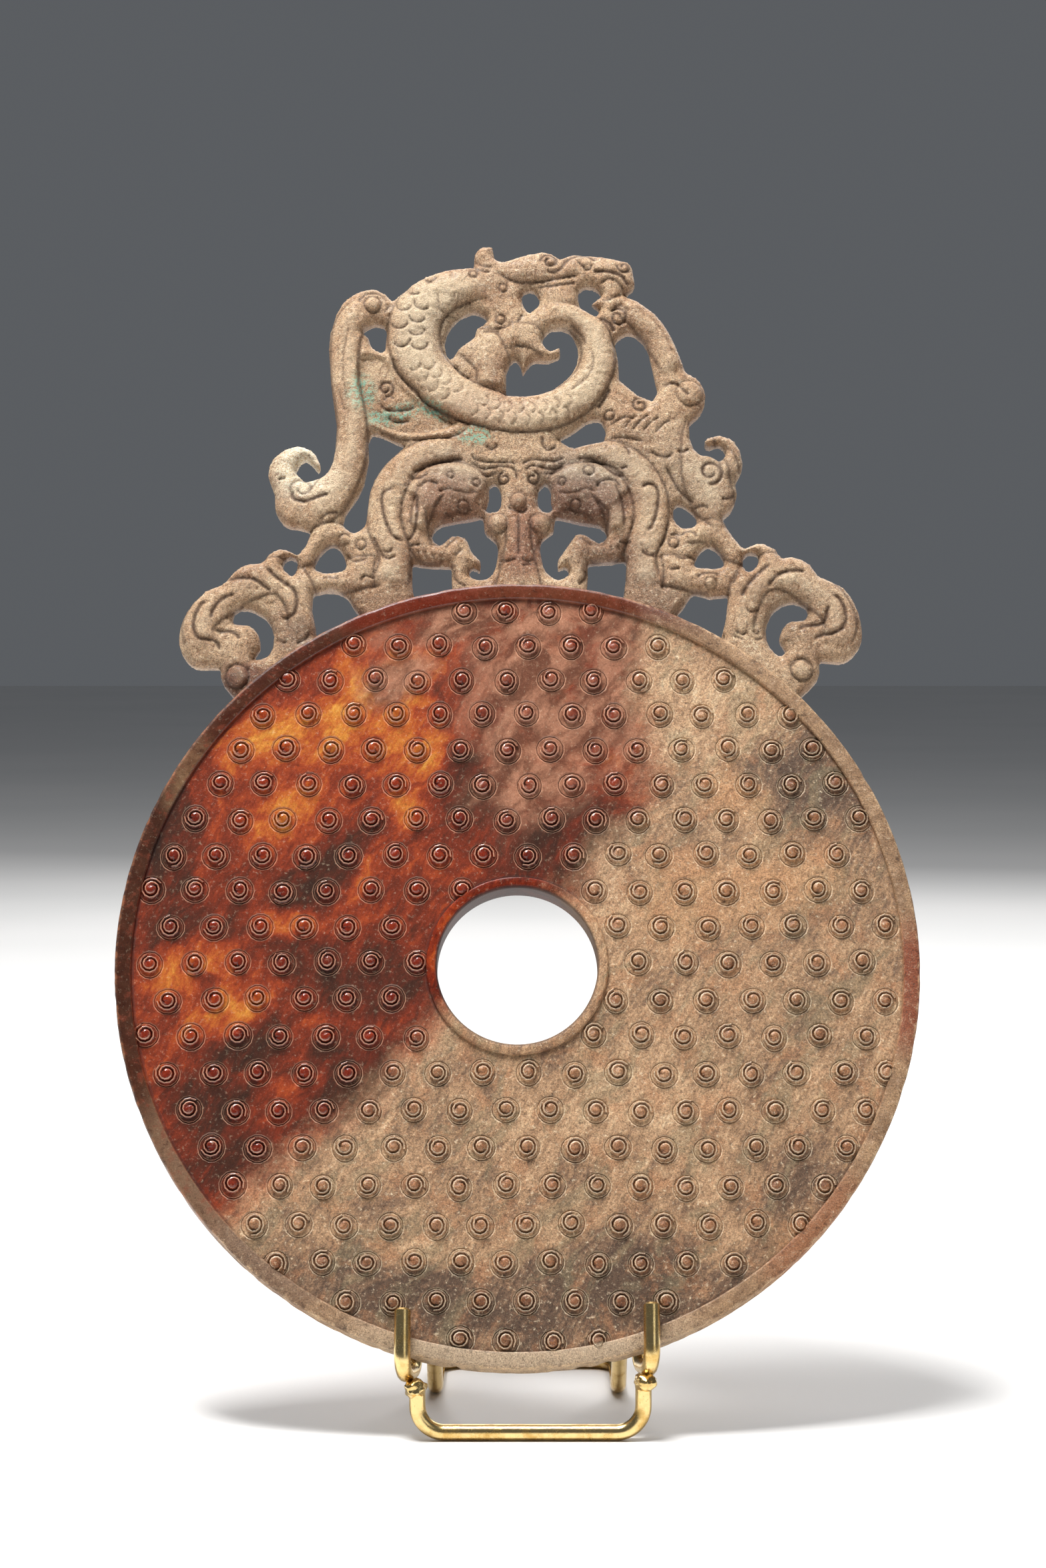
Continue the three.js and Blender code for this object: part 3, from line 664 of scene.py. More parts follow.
def carve_straps_and_wing(face):
    face.dome(-37.8, 177.2, 2.2, 0.9, 0.5)
    face.line([(-41.8, 177.6), (-39.6, 180.2), (-36, 180.3), (-34, 178)])
    face.line([(-34.7, 175), (-33.1, 177.6)])
    face.line([(-43.6, 172), (-45, 164), (-45.2, 157), (-44, 150)], 0.8, 0.35)
    face.line([(-46.4, 154), (-45.6, 150.4), (-44.6, 147.2)], 0.8, 0.4)
    face.sunk(
        [(-40.6, 163.4), (-34.6, 163), (-30.6, 156.6), (-24.6, 150.4), (-15, 144.6), (-21, 141),
         (-30, 140.8), (-37.4, 143.8), (-41, 150), (-42.2, 157)],
        1.5, 1.6,
    )
    face.line([(-34.8, 150.8), (-33.4, 152.2), (-32, 151.2)])
    face.line([(-35.8, 150), (-34, 148.4), (-31.6, 148), (-28, 148.4), (-26.6, 149.6)], 1.0, 0.6)
    face.line([(-33.6, 146.4), (-31.6, 145), (-28, 145.2)])
    face.volute(-34.2, 154.2, 2.2, 1.3, 300, 1)
    face.line(
        [(-36.8, 143.2), (-34, 141.6), (-28.8, 139.8), (-22, 139.8), (-18, 140.2), (-14.8, 141.2),
         (-12.4, 143.4)],
        0.9, 0.5,
    )
    for i in range(5):
        face.line([(-25 + 1.7 * i, 151 - 1.1 * i), (-22.8 + 1.5 * i, 147 - 0.8 * i)], 0.6, 0.35)
    face.line([(40.6, 163), (37.6, 169.6), (33.8, 174.2)], 0.8, 0.35)


def carve_right_head(face):
    face.swell(27, 143.5, 5.5, 4, 0.6)
    face.line([(24, 153.8), (22.4, 150.8), (20.8, 148.4)], 1.1, 0.7)
    face.dome(23.8, 146.4, 1.2, 0.5, 0.5)
    face.volute(31.8, 149.2, 2.3, 1.4, 60, 1)
    for points in (
        [(24, 143.6), (26, 144.8), (28, 145.6), (30.4, 145.2)],
        [(27.6, 142.4), (29.2, 144.8), (31, 146.4)],
        [(29.6, 142), (32, 144.8), (34, 146.4)],
        [(32.4, 141.8), (34.6, 144.4), (36.8, 145.8)],
        [(35.6, 141.4), (37.6, 143.8), (39.8, 145)],
    ):
        face.line(points, 0.8, 0.5)
    face.line([(24, 140.2), (28, 140), (33, 139)], 0.9, 0.5)
    face.line([(34.4, 136.4), (35.6, 135.4), (37.6, 134.8), (39.4, 135.2), (40, 136.4)])
    face.line([(41.4, 136.6), (42.8, 136.2), (44.4, 137)])
    face.dome(44.6, 152.6, 3.4, 0.8, 0.4)
    for points in (
        [(37.8, 154.4), (39.6, 155.2), (41.6, 154.8), (42.8, 153.2), (44, 152), (44.8, 152.4)],
        [(6.6, 140.4), (6.6, 138), (8.2, 136.8), (10, 137.8)],
        [(-7.9, 138.1), (-7.3, 136.9), (-6.1, 137), (-5.1, 138.4)],
    ):
        face.line(points)


def carve_clouds(face):
    face.volute(49.6, 130.4, 3.6, 1.4, 250, 1, 0.6, 1.0)
    face.line([(52.4, 123.2), (54.4, 123.4), (56, 125.2)])
    face.seam([(38.2, 132.4), (40, 128.8), (41.6, 126), (44, 123.6), (46, 122)], 1.3, 1.5)
    face.line([(44.8, 121.2), (48, 121.2), (49.2, 120.6)])
    face.line([(-58, 126), (-57.6, 123.6), (-54.8, 122.6), (-51.6, 123.4), (-48.4, 124.4)], 1.1, 0.7)
    face.volute(-55.4, 126.2, 3.2, 1.2, 200, -1, 0.5, 0.9)
    face.line([(-61.6, 128.8), (-59.6, 129.2)])
    face.line([(-50.8, 117.6), (-48.4, 119.2), (-46, 120)])


def carve_left_beast(face):
    face.swell(-16, 127, 6, 5, 0.7)
    face.swell(-24, 120, 4, 5, 0.5)
    face.line([(-27.2, 130.4), (-22.4, 132.2), (-19.2, 133.4), (-16.4, 134), (-13.6, 134)], 1.0, 0.6)
    face.line([(-27.6, 128.8), (-25.2, 128.6), (-22.8, 130)])
    face.dome(-17.2, 129.2, 0.9, 0.3, 0.5)
    face.dome(-10.6, 127.3, 0.9, 0.3, 0.5)
    face.dome(-13.9, 121.1, 1.4, 0.5, 0.5)
    face.line([(-20.6, 124.4), (-18, 125.4), (-15.4, 124.8), (-12.6, 124.4), (-10, 125)], 0.9, 0.45)
    face.line([(-18.6, 119.6), (-16.4, 118.4)])
    face.line([(-25.1, 125.6), (-24.2, 127), (-22.6, 127.5), (-20.1, 126.6)])
    face.line([(-25.8, 124.4), (-25.8, 118), (-26.7, 113.8), (-28.3, 111.6)], 1.0, 0.6)
    face.line(
        [(-31.4, 126.3), (-34.7, 124.4), (-34.5, 120), (-33.6, 116.3), (-32, 113.1), (-30.1, 111.9),
         (-28.6, 111.7)],
        1.0, 0.6,
    )
    for points in (
        [(-37, 113.1), (-35.8, 110.3), (-34.5, 107.8), (-32.9, 106.7), (-31.1, 107.5)],
        [(-34.2, 108.8), (-32.6, 108.6), (-32, 110)],
        [(-28.3, 110.6), (-24.8, 110.8)],
    ):
        face.line(points)
    for i in range(6):
        face.line([(-27.4 + 1.9 * i, 110 - 0.5 * i), (-27 + 1.9 * i, 107.4 - 0.2 * i)], 0.6, 0.4)
    for points in (
        [(-18.6, 110), (-17, 111.9), (-14.8, 113.4)],
        [(-16.1, 107.8), (-14.2, 110)],
        [(-16.1, 104.7), (-16.1, 102.5), (-14.8, 100.6), (-12.9, 99.7)],
    ):
        face.line(points)


def carve_right_beast(face):
    face.swell(16.5, 127, 6, 5, 0.7)
    face.swell(24.5, 120, 4, 5, 0.5)
    face.line(
        [(14.9, 134.1), (16.8, 134.4), (19.3, 134.1), (21.4, 132.8), (23.6, 130.9), (25.5, 129.5),
         (28, 129.4)],
        1.0, 0.6,
    )
    face.dome(18.3, 130.6, 1.4, 0.5, 0.5)
    face.dome(11.4, 127.7, 1.0, 0.3, 0.5)
    face.dome(14.9, 121.4, 1.3, 0.5, 0.5)
    face.line([(10, 125.2), (12.8, 124.4), (15.6, 124.8), (18, 125.4), (20.4, 124.6)], 0.9, 0.45)
    for i in range(3):
        face.line([(17.2 + 1.2 * i, 128.4 - 0.2 * i), (18.4 + 1.2 * i, 126.2 - 0.1 * i)], 0.6, 0.4)
    face.line([(20.2, 125.6), (21.1, 127.2), (23.3, 128), (25.2, 127.8), (26.4, 126.3)])
    face.line([(20.5, 122.5), (22.7, 120)])
    face.line(
        [(31.8, 125.6), (33, 126.9), (34.9, 126.9), (36.1, 125), (36, 121.3), (34.9, 116.6),
         (33, 113.8)],
        1.0, 0.6,
    )
    for points in (
        [(38.6, 116.9), (37.7, 112.8), (36.4, 110.3)],
        [(31.8, 109.1), (33.3, 107.8), (35.2, 107.8)],
        [(27.5, 137.6), (28.5, 136.5), (28.8, 135)],
        [(26.4, 131.4), (28.6, 131.7)],
        [(25.8, 111.4), (29.3, 111.4)],
    ):
        face.line(points)
    for i in range(6):
        face.line([(18.4 + 1.9 * i, 107.8 + 0.4 * i), (18.2 + 1.9 * i, 110.2 + 0.1 * i)], 0.6, 0.4)
    face.line([(15.5, 113.1), (17.4, 112.2), (19.3, 110.6)])
    face.line([(17.4, 104.6), (17.4, 102.5), (15.5, 100)])


def carve_mask(face):
    """The face on the pillar between the two beasts."""
    face.swell(0.3, 122.6, 2.6, 2.6, 0.6)
    for points in (
        [(-12, 135.3), (-10.8, 134.1), (-7.6, 133.4), (-2, 133.3), (-0.1, 132.5)],
        [(-11.7, 133.4), (-9.5, 131.7), (-6.4, 131.9), (-4.2, 132.3), (-1.7, 131.9), (-0.4, 130.6),
         (-0.1, 128.1)],
        [(-9.5, 130), (-7.6, 129.7), (-5.1, 130.9)],
        [(0.8, 132.5), (2.1, 133.4), (4.3, 134.1), (8.9, 133.6), (11.1, 134.1), (12.1, 135.3)],
        [(1.9, 130.6), (2.7, 131.9), (4.3, 132.5), (8.6, 131.6), (10.8, 132), (12.4, 133.8)],
        [(6.4, 130.5), (9.9, 130.6), (12.1, 132.2)],
        [(-2.3, 121.6), (-1.7, 120.6), (0.2, 119.9), (1.8, 119.9), (2.6, 121.2)],
        [(0.3, 119), (0.3, 107.4)],
        [(-4.2, 107), (-2.6, 106.3), (-0.1, 106.9)],
        [(1, 106.9), (2.4, 106.3), (4.6, 106.9)],
        [(1.1, 105), (3.6, 105.6)],
    ):
        face.line(points, 0.9, 0.55)
    face.volute(-3.3, 129, 1.8, 1.3, 90, 1)
    face.volute(3.9, 129.1, 1.9, 1.3, 90, -1)
    face.dome(0.2, 122.8, 2.1, 0.8, 0.4)
    face.dome(-5.1, 116.9, 2.6, 1.1, 0.4)
    face.dome(5.8, 116.8, 2.6, 1.1, 0.4)


def carve_low_creatures(face):
    for points in (
        [(39, 113.5), (40.4, 113.9), (41.7, 113.3)],
        [(41.7, 113.3), (43.3, 114.4), (45.1, 114.2), (46, 112.8)],
        [(40.4, 107.6), (42.6, 107.1), (44.7, 107.8)],
        [(38.6, 104.6), (39.5, 104), (41.4, 104.4)],
        [(45.8, 101.7), (47.2, 102.8), (49.4, 103.1), (51.9, 103)],
        [(55.1, 100.3), (56.5, 103.5)],
        [(-43.9, 108.9), (-42.1, 106.5), (-40, 106.4), (-38.2, 107.4)],
        [(-50, 101.9), (-47.9, 101.9), (-45.4, 101.4)],
        [(-40.1, 100.9), (-38.9, 102.3), (-36.7, 101.6)],
        [(-46, 112.8), (-44.2, 113.8), (-42.6, 113)],
    ):
        face.line(points, 0.9, 0.55)
    face.dome(40, 111.5, 1.3, 0.4, 0.5)
    face.dome(-40, 111, 1.3, 0.4, 0.5)
    face.swell(49.4, 100.3, 3, 1.8, 0.6)
    face.swell(-47.4, 100, 3, 1.8, 0.6)
    face.dome(49.4, 100.3, 1.5, 0.3, 0.4)
    face.swell(33, 101, 3.4, 6, 0.5)
    face.swell(-33, 101, 3.4, 6, 0.5)
    face.seam([(36.6, 108.6), (37.4, 103.6), (36.8, 98.4)], 1.0, 1.3)
    face.seam([(-36.2, 108.2), (-36.8, 103.2), (-36.2, 98.4)], 1.0, 1.3)


def carve_shoulders(face):
    for points in (
        [(57, 96.4), (58.3, 98.9), (60.4, 101.7), (62.6, 103.9), (64.7, 105.6)],
        [(63.8, 99.4), (65.1, 101), (67.2, 102.8), (70.1, 103.5), (73.6, 103.6)],
        [(79.4, 94.6), (78.3, 90.3), (77.2, 89.4), (74, 89.2), (72.6, 88.9), (71.9, 87.8)],
        [(80.1, 97.3), (81.9, 96.4), (83.3, 93.9), (83.6, 90.3), (82.6, 88.1), (80.4, 86.9),
         (77.2, 86.4), (75.1, 85.3)],
        [(-64.6, 105.3), (-62.9, 103.1), (-60.4, 101), (-57.9, 99.2), (-56.6, 97.4), (-56.3, 94.9),
         (-56.8, 92.4), (-58.6, 91), (-60.4, 91.4)],
        [(-74.3, 101.4), (-71.4, 101.7), (-68.2, 101.5), (-65.7, 100.3), (-62.9, 98.1)],
        [(-72.1, 97.4), (-74.6, 96.5), (-76.4, 94.9), (-77.7, 92.8), (-78.2, 90.6)],
        [(-77.1, 88.1), (-75.7, 87.5), (-73.2, 87.5), (-71.4, 86.7), (-70.7, 85.3)],
        [(-78.8, 95.6), (-80.7, 94.6), (-82.1, 91.7), (-82.5, 88.5), (-81.1, 85.6), (-77.5, 85.1),
         (-76.1, 83.9), (-75.7, 82.1)],
    ):
        face.line(points, 1.1, 0.65)
    for points in (
        [(55.6, 87.8), (57.2, 86.7), (58.6, 87.4)],
        [(55.1, 86.4), (57.6, 85.2)],
        [(59.9, 88.1), (60.8, 86.9), (61.7, 87.8)],
        [(60.3, 85.6), (61.1, 85.4), (62.2, 86)],
        [(58.3, 93.9), (59, 92.6), (60.4, 92.8), (61.5, 93.5)],
        [(-61.4, 85.6), (-59.6, 84.6), (-58.6, 84.9)],
        [(-56.4, 84.2), (-54.3, 85.3), (-52.9, 87.4)],
        [(69.7, 78.1), (71.9, 79.9), (74.4, 78.5)],
    ):
        face.line(points, 0.8, 0.5)
    for i in range(8):
        face.line([(67.4 + 0.1 * i, 90.6 - 0.85 * i), (70.6 + 0.1 * i, 90 - 0.85 * i)], 0.55, 0.35)
        face.line([(-69.4 + 0.15 * i, 87.6 - 0.8 * i), (-66.4 + 0.15 * i, 87.2 - 0.8 * i)], 0.55, 0.35)
    face.dome(72.2, 77.4, 2.8, 1.0, 0.5)
    face.dome(-71.1, 75.6, 3.0, 1.0, 0.5)


def carve_crest(face):
    for work in (
        raise_limbs, carve_top_dragon, carve_straps_and_wing, carve_right_head, carve_clouds,
        carve_left_beast, carve_right_beast, carve_mask, carve_low_creatures, carve_shoulders,
    ):
        work(face)


def crest_mesh():
    """The crest: a flat plate whose limbs are rounded over and whose two faces are then carved."""
    mesh, outline = crest_plate()
    flat = np.empty(len(mesh.vertices) * 3)
    mesh.vertices.foreach_get("co", flat)
    co = flat.reshape(-1, 3)

    edge_points = []
    for a, b in outline:
        stops = int((b - a).length / OUTLINE_STEP) + 1
        edge_points += [a.lerp(b, i / stops) for i in range(stops)]
    edge_points = [p for p in edge_points if p.xy.length > DISC_RADIUS + 0.25]
    tree = kdtree.KDTree(len(edge_points))
    for i, point in enumerate(edge_points):
        tree.insert((point.x, point.y, 0), i)
    tree.balance()
    inset = np.array([tree.find((x, y, 0))[2] for x, y in co[:, :2]])

    to_edge = np.clip(TURN_OVER - inset, 0, TURN_OVER)
    rounded = TURN_OVER - np.sqrt(np.clip(TURN_OVER ** 2 - to_edge ** 2, 0, None))
    pillow = PILLOW * np.exp(-inset / PILLOW_REACH)
    pitted = np.array([
        noise.noise((x * 0.5, y * 0.5, 1)) * PITTING + noise.noise((x * 1.3, y * 1.3, 5)) * PITTING
        for x, y in co[:, :2]
    ])
    level = CREST_HALF + 0.1 - rounded - pillow + pitted
    face = Carving(co[:, :2], level.copy())
    carve_crest(face)
    side = co[:, 2] - MID_PLANE
    front = np.clip(face.height, THINNEST_HALF, CREST_HALF + FRONT_RISE)
    back = level + BACK_SHARE * (face.height - level)
    back = np.clip(back, THINNEST_HALF, CREST_HALF + BACK_RISE)
    co[:, 2] = MID_PLANE + side / CREST_HALF * np.where(side > 0, front, back)
    mesh.vertices.foreach_set("co", co.ravel())

    lift = np.abs(co[:, 2] - MID_PLANE)
    hollow = np.where(side > 0, face.hollow, BACK_SHARE * face.hollow)
    # the walls of the openings and the low places join the hollow mark, which the finish darkens as
    # dirt and painted shade
    wall = eased(1 - np.abs(side) / CREST_HALF * 1.15) * (inset < 0.5)
    low = 0.3 * (1 - eased((lift - 2.2) / 2.2))
    marks = {
        "hollow": np.clip(np.maximum(hollow, low) + 0.35 * wall, 0, 1),
        # the crown mark of the high places is lightened in the finish as rubbed wear and painted
        # highlight
        "crown": eased((lift - 4.0) / 1.6),
    }
    for name, values in marks.items():
        mesh.attributes.new(name, "FLOAT", "POINT").data.foreach_set("value", values)
    mesh.update()
    ratio = CREST_TRIANGLES / (2 * len(mesh.polygons))
    return with_modifier(mesh, "DECIMATE", ratio=ratio)


# ------------------------------------------------------------------ stand

STAND_X = 2.4
PRONG_SPREAD = 30.1
REST_SPREAD = 27.6
ARCH_TOP = 52.0
PRONG_LENGTH = 15.5
ARM_DROP = 1.5
PRONG_BEND = 4.4
ARCH_BEND = 24.0
WIRE_GAP = 0.3
SEAT_GAP = 0.6
FILED_END = 0.55
PRONG_N = WIRE_GAP + WIRE
REST_N = -DISC_THICKNESS - WIRE_GAP - WIRE
CRADLE_BENDS = (PRONG_BEND, PRONG_BEND, ARCH_BEND, ARCH_BEND, PRONG_BEND, PRONG_BEND)
FLOOR_Z = -centre.z / MM
BAR_Z = FLOOR_Z + WIRE
FRONT_FOOT_X = 3.2
FRONT_FOOT_SPREAD = 27.3
FRONT_FOOT_Y = -32.0
FRONT_FOOT_TOP = -98.9
RIGHT_TOP_RISE = 1.4
FOOT_BEND = 6.5
REAR_LEG_SPREAD = REST_SPREAD - 2 * WIRE - WIRE_GAP
REAR_LEG_TOP = -62.0
REAR_BRAZE = 16.0
REAR_TOUCHDOWN_Y = 20.0
REAR_FOOT_Y = 54.0
REAR_BENDS = (8, 9, 7, 7, 9, 8)
FRONT_LUMP = (2.7, 3.1, 2.3)
REAR_LUMP = (1.7, 1.8, REAR_BRAZE / 2)

stand_to_world = Matrix.Translation(centre) @ Matrix.Scale(MM, 4)


def off_disc(x, v, n):
    """A point of the stand: x across, v up the disc and n off its front."""
    return Vector((x, v * math.sin(LEAN) - n * math.cos(LEAN), v * math.cos(LEAN) + n * math.sin(LEAN)))


def up_disc(z, n):
    """How far up the disc a point of the stand at height z and n off the front lies."""
    return (z - n * math.sin(LEAN)) / math.cos(LEAN)


def edge_z(x):
    """The height of the disc's lowest edge at x across."""
    return -math.sqrt(DISC_RADIUS ** 2 - x ** 2) * math.cos(LEAN) - DISC_THICKNESS * math.sin(LEAN)


def bent(points, bends, stops=9):
    """Straight lengths joined by round bends."""
    path = [points[0]]
    for before, corner, after, radius in zip(points, points[1:], points[2:], bends):
        into = (corner - before).normalized()
        away = (after - corner).normalized()
        angle = into.angle(away)
        reach = radius * math.tan(angle / 2)
        pull = (4 / 3) * math.tan(angle / 4) / math.tan(angle / 2)
        start, end = corner - into * reach, corner + away * reach
        path += interpolate_bezier(start, start.lerp(corner, pull), end.lerp(corner, pull), end, stops)
    path.append(points[-1])
    return path


def wire_tube(path, tip=0.7):
    """Round wire along a path, its cut ends filed to a small chamfer."""
    curve = bpy.data.curves.new("wire", "CURVE")
    curve.dimensions = "3D"
    curve.bevel_depth = WIRE
    curve.bevel_resolution = 6
    curve.use_fill_caps = True
    first, last = path[0], path[-1]
    stops = [first, first.lerp(path[1], FILED_END / (first - path[1]).length)]
    stops += path[1:-1]
    stops += [last.lerp(path[-2], FILED_END / (last - path[-2]).length), last]
    spline = curve.splines.new("POLY")
    spline.points.add(len(stops) - 1)
    for point, stop in zip(spline.points, stops):
        point.co = (*stop, 1)
    spline.points[0].radius = spline.points[-1].radius = tip
    holder = new_object("wire", curve)
    graph = bpy.context.evaluated_depsgraph_get()
    mesh = bpy.data.meshes.new_from_object(holder.evaluated_get(graph))
    bpy.data.objects.remove(holder)
    bm = bmesh.new()
    bm.from_mesh(mesh)
    bmesh.ops.remove_doubles(bm, verts=bm.verts, dist=0.001)
    bmesh.ops.recalc_face_normals(bm, faces=bm.faces)
    bpy.data.meshes.remove(mesh)
    return mesh_of(bm)


def braze_lump(place, size, turn=0.0):
    """A lump of solder that has run round a joint and set unevenly."""
    bm = bmesh.new()
    made = bmesh.ops.create_icosphere(bm, subdivisions=4, radius=1)
    for vert in made["verts"]:
        wave = noise.noise(vert.co * 1.7 + Vector(place) * 0.1) * 0.26
        wave += noise.noise(vert.co * 4.1) * 0.08
        vert.co = Vector([a * b for a, b in zip(vert.co * (1 + wave), size)])
    bmesh.ops.rotate(bm, verts=bm.verts, cent=(0, 0, 0), matrix=Matrix.Rotation(turn, 3, "X"))
    bmesh.ops.translate(bm, verts=bm.verts, vec=place)
    return mesh_of(bm)


def cradle_path():
    """The cradle: up in front of the disc, back under its edge, and up behind it in an arch."""
    def side(s):
        front_x, back_x = STAND_X + s * PRONG_SPREAD, STAND_X + s * REST_SPREAD
        back_z = edge_z(back_x) - SEAT_GAP - WIRE
        front_z = back_z + ARM_DROP
        return [
            off_disc(front_x, up_disc(front_z + PRONG_LENGTH, PRONG_N), PRONG_N),
            off_disc(front_x, up_disc(front_z, PRONG_N), PRONG_N),
            off_disc(back_x, up_disc(back_z, REST_N), REST_N),
            off_disc(back_x, ARCH_TOP, REST_N),
        ]

    return bent(side(-1) + side(1)[::-1], CRADLE_BENDS, 14)


def front_foot_path():
    """The front foot: a bar on the floor that turns up to the cradle at both ends."""
    def corner(s, z):
        return Vector((FRONT_FOOT_X + s * FRONT_FOOT_SPREAD, FRONT_FOOT_Y, z))

    ends = [
        corner(-1, FRONT_FOOT_TOP), corner(-1, BAR_Z),
        corner(1, BAR_Z), corner(1, FRONT_FOOT_TOP + RIGHT_TOP_RISE),
    ]
    return bent(ends, (FOOT_BEND, FOOT_BEND), 14)


def rear_foot_path():
    """The rear foot: two legs brazed to the arch that run down and back to a bar on the floor."""
    top_v = up_disc(REAR_LEG_TOP, REST_N)

    def side(s):
        x = STAND_X + s * REAR_LEG_SPREAD
        return [
            off_disc(x, top_v, REST_N), off_disc(x, top_v - REAR_BRAZE, REST_N),
            Vector((x, REAR_TOUCHDOWN_Y, BAR_Z)), Vector((x, REAR_FOOT_Y, BAR_Z)),
        ]

    return bent(side(-1) + side(1)[::-1], REAR_BENDS)


def front_foot_mesh():
    mesh = wire_tube(front_foot_path(), 0.85)
    for s, top in ((-1, FRONT_FOOT_TOP), (1, FRONT_FOOT_TOP + RIGHT_TOP_RISE)):
        x = FRONT_FOOT_X + s * FRONT_FOOT_SPREAD
        lump = braze_lump((x + s * 0.4, FRONT_FOOT_Y, top - 0.4), FRONT_LUMP)
        mesh = combined(mesh, lump, "UNION")
    return mesh


def rear_foot_mesh():
    mesh = wire_tube(rear_foot_path())
    seam_v = up_disc(REAR_LEG_TOP, REST_N) - REAR_BRAZE / 2
    for s in (-1, 1):
        x = STAND_X + s * (REAR_LEG_SPREAD + WIRE)
        lump = braze_lump(off_disc(x, seam_v, REST_N), REAR_LUMP, -LEAN)
        mesh = combined(mesh, lump, "UNION")
    return mesh


# ------------------------------------------------------------------ finishes

AMBER_STOPS = (
    (0.04, "1f0d09"), (0.17, "38160d"), (0.3, "561b0e"), (0.42, "742611"),
    (0.53, "943a17"), (0.65, "ad5a20"), (0.79, "c68633"), (0.94, "deb26f"),
)
TAN_STOPS = (
    (0.1, "4a3324"), (0.27, "71543e"), (0.43, "937152"),
    (0.57, "a98563"), (0.73, "bc9b77"), (0.9, "d3bd9c"),
)
CREST_STOPS = ((0.14, "5b3c28"), (0.3, "876348"), (0.46, "ad8a69"), (0.62, "c7aa88"), (0.84, "e2ccac"))


def tint(code):
    """A colour from its hex code, as light."""
    parts = [int(code[i:i + 2], 16) / 255 for i in (0, 2, 4)]
    return tuple(((p + 0.055) / 1.055) ** 2.4 if p > 0.04 else p / 12.92 for p in parts) + (1,)


def set_stops(ramp, stops):
    """Stops of a colour ramp, as places and hex codes."""
    elements = ramp.elements
    while len(elements) > 2:
        elements.remove(elements[-1])
    for element, (place, code) in zip(elements, (stops[0], stops[-1])):
        element.position = place
        element.color = tint(code)
    for place, code in stops[1:-1]:
        elements.new(place).color = tint(code)


class Level:
    """A number that varies over a surface, with arithmetic that adds Math nodes."""

    def __init__(self, recipe, socket):
        self.recipe = recipe
        self.socket = socket

    def __add__(self, other):
        return self.recipe.maths("ADD", self, other)

    def __sub__(self, other):
        return self.recipe.maths("SUBTRACT", self, other)

    def __rsub__(self, other):
        return self.recipe.maths("SUBTRACT", other, self)

    def __mul__(self, other):
        return self.recipe.maths("MULTIPLY", self, other)

    def __abs__(self):
        return self.recipe.maths("ABSOLUTE", self)

    __radd__ = __add__
    __rmul__ = __mul__

    def most(self, other):
        return self.recipe.maths("MAXIMUM", self, other)

    def least(self, other):
        return self.recipe.maths("MINIMUM", self, other)

    def rise(self, low, high):
        """0 below low, 1 above high, with a smooth rise between."""
        node = self.recipe.node(
            "ShaderNodeMapRange", {"Value": self, "From Min": low, "From Max": high},
            interpolation_type="SMOOTHSTEP",
        )
        return Level(self.recipe, node.outputs["Result"])


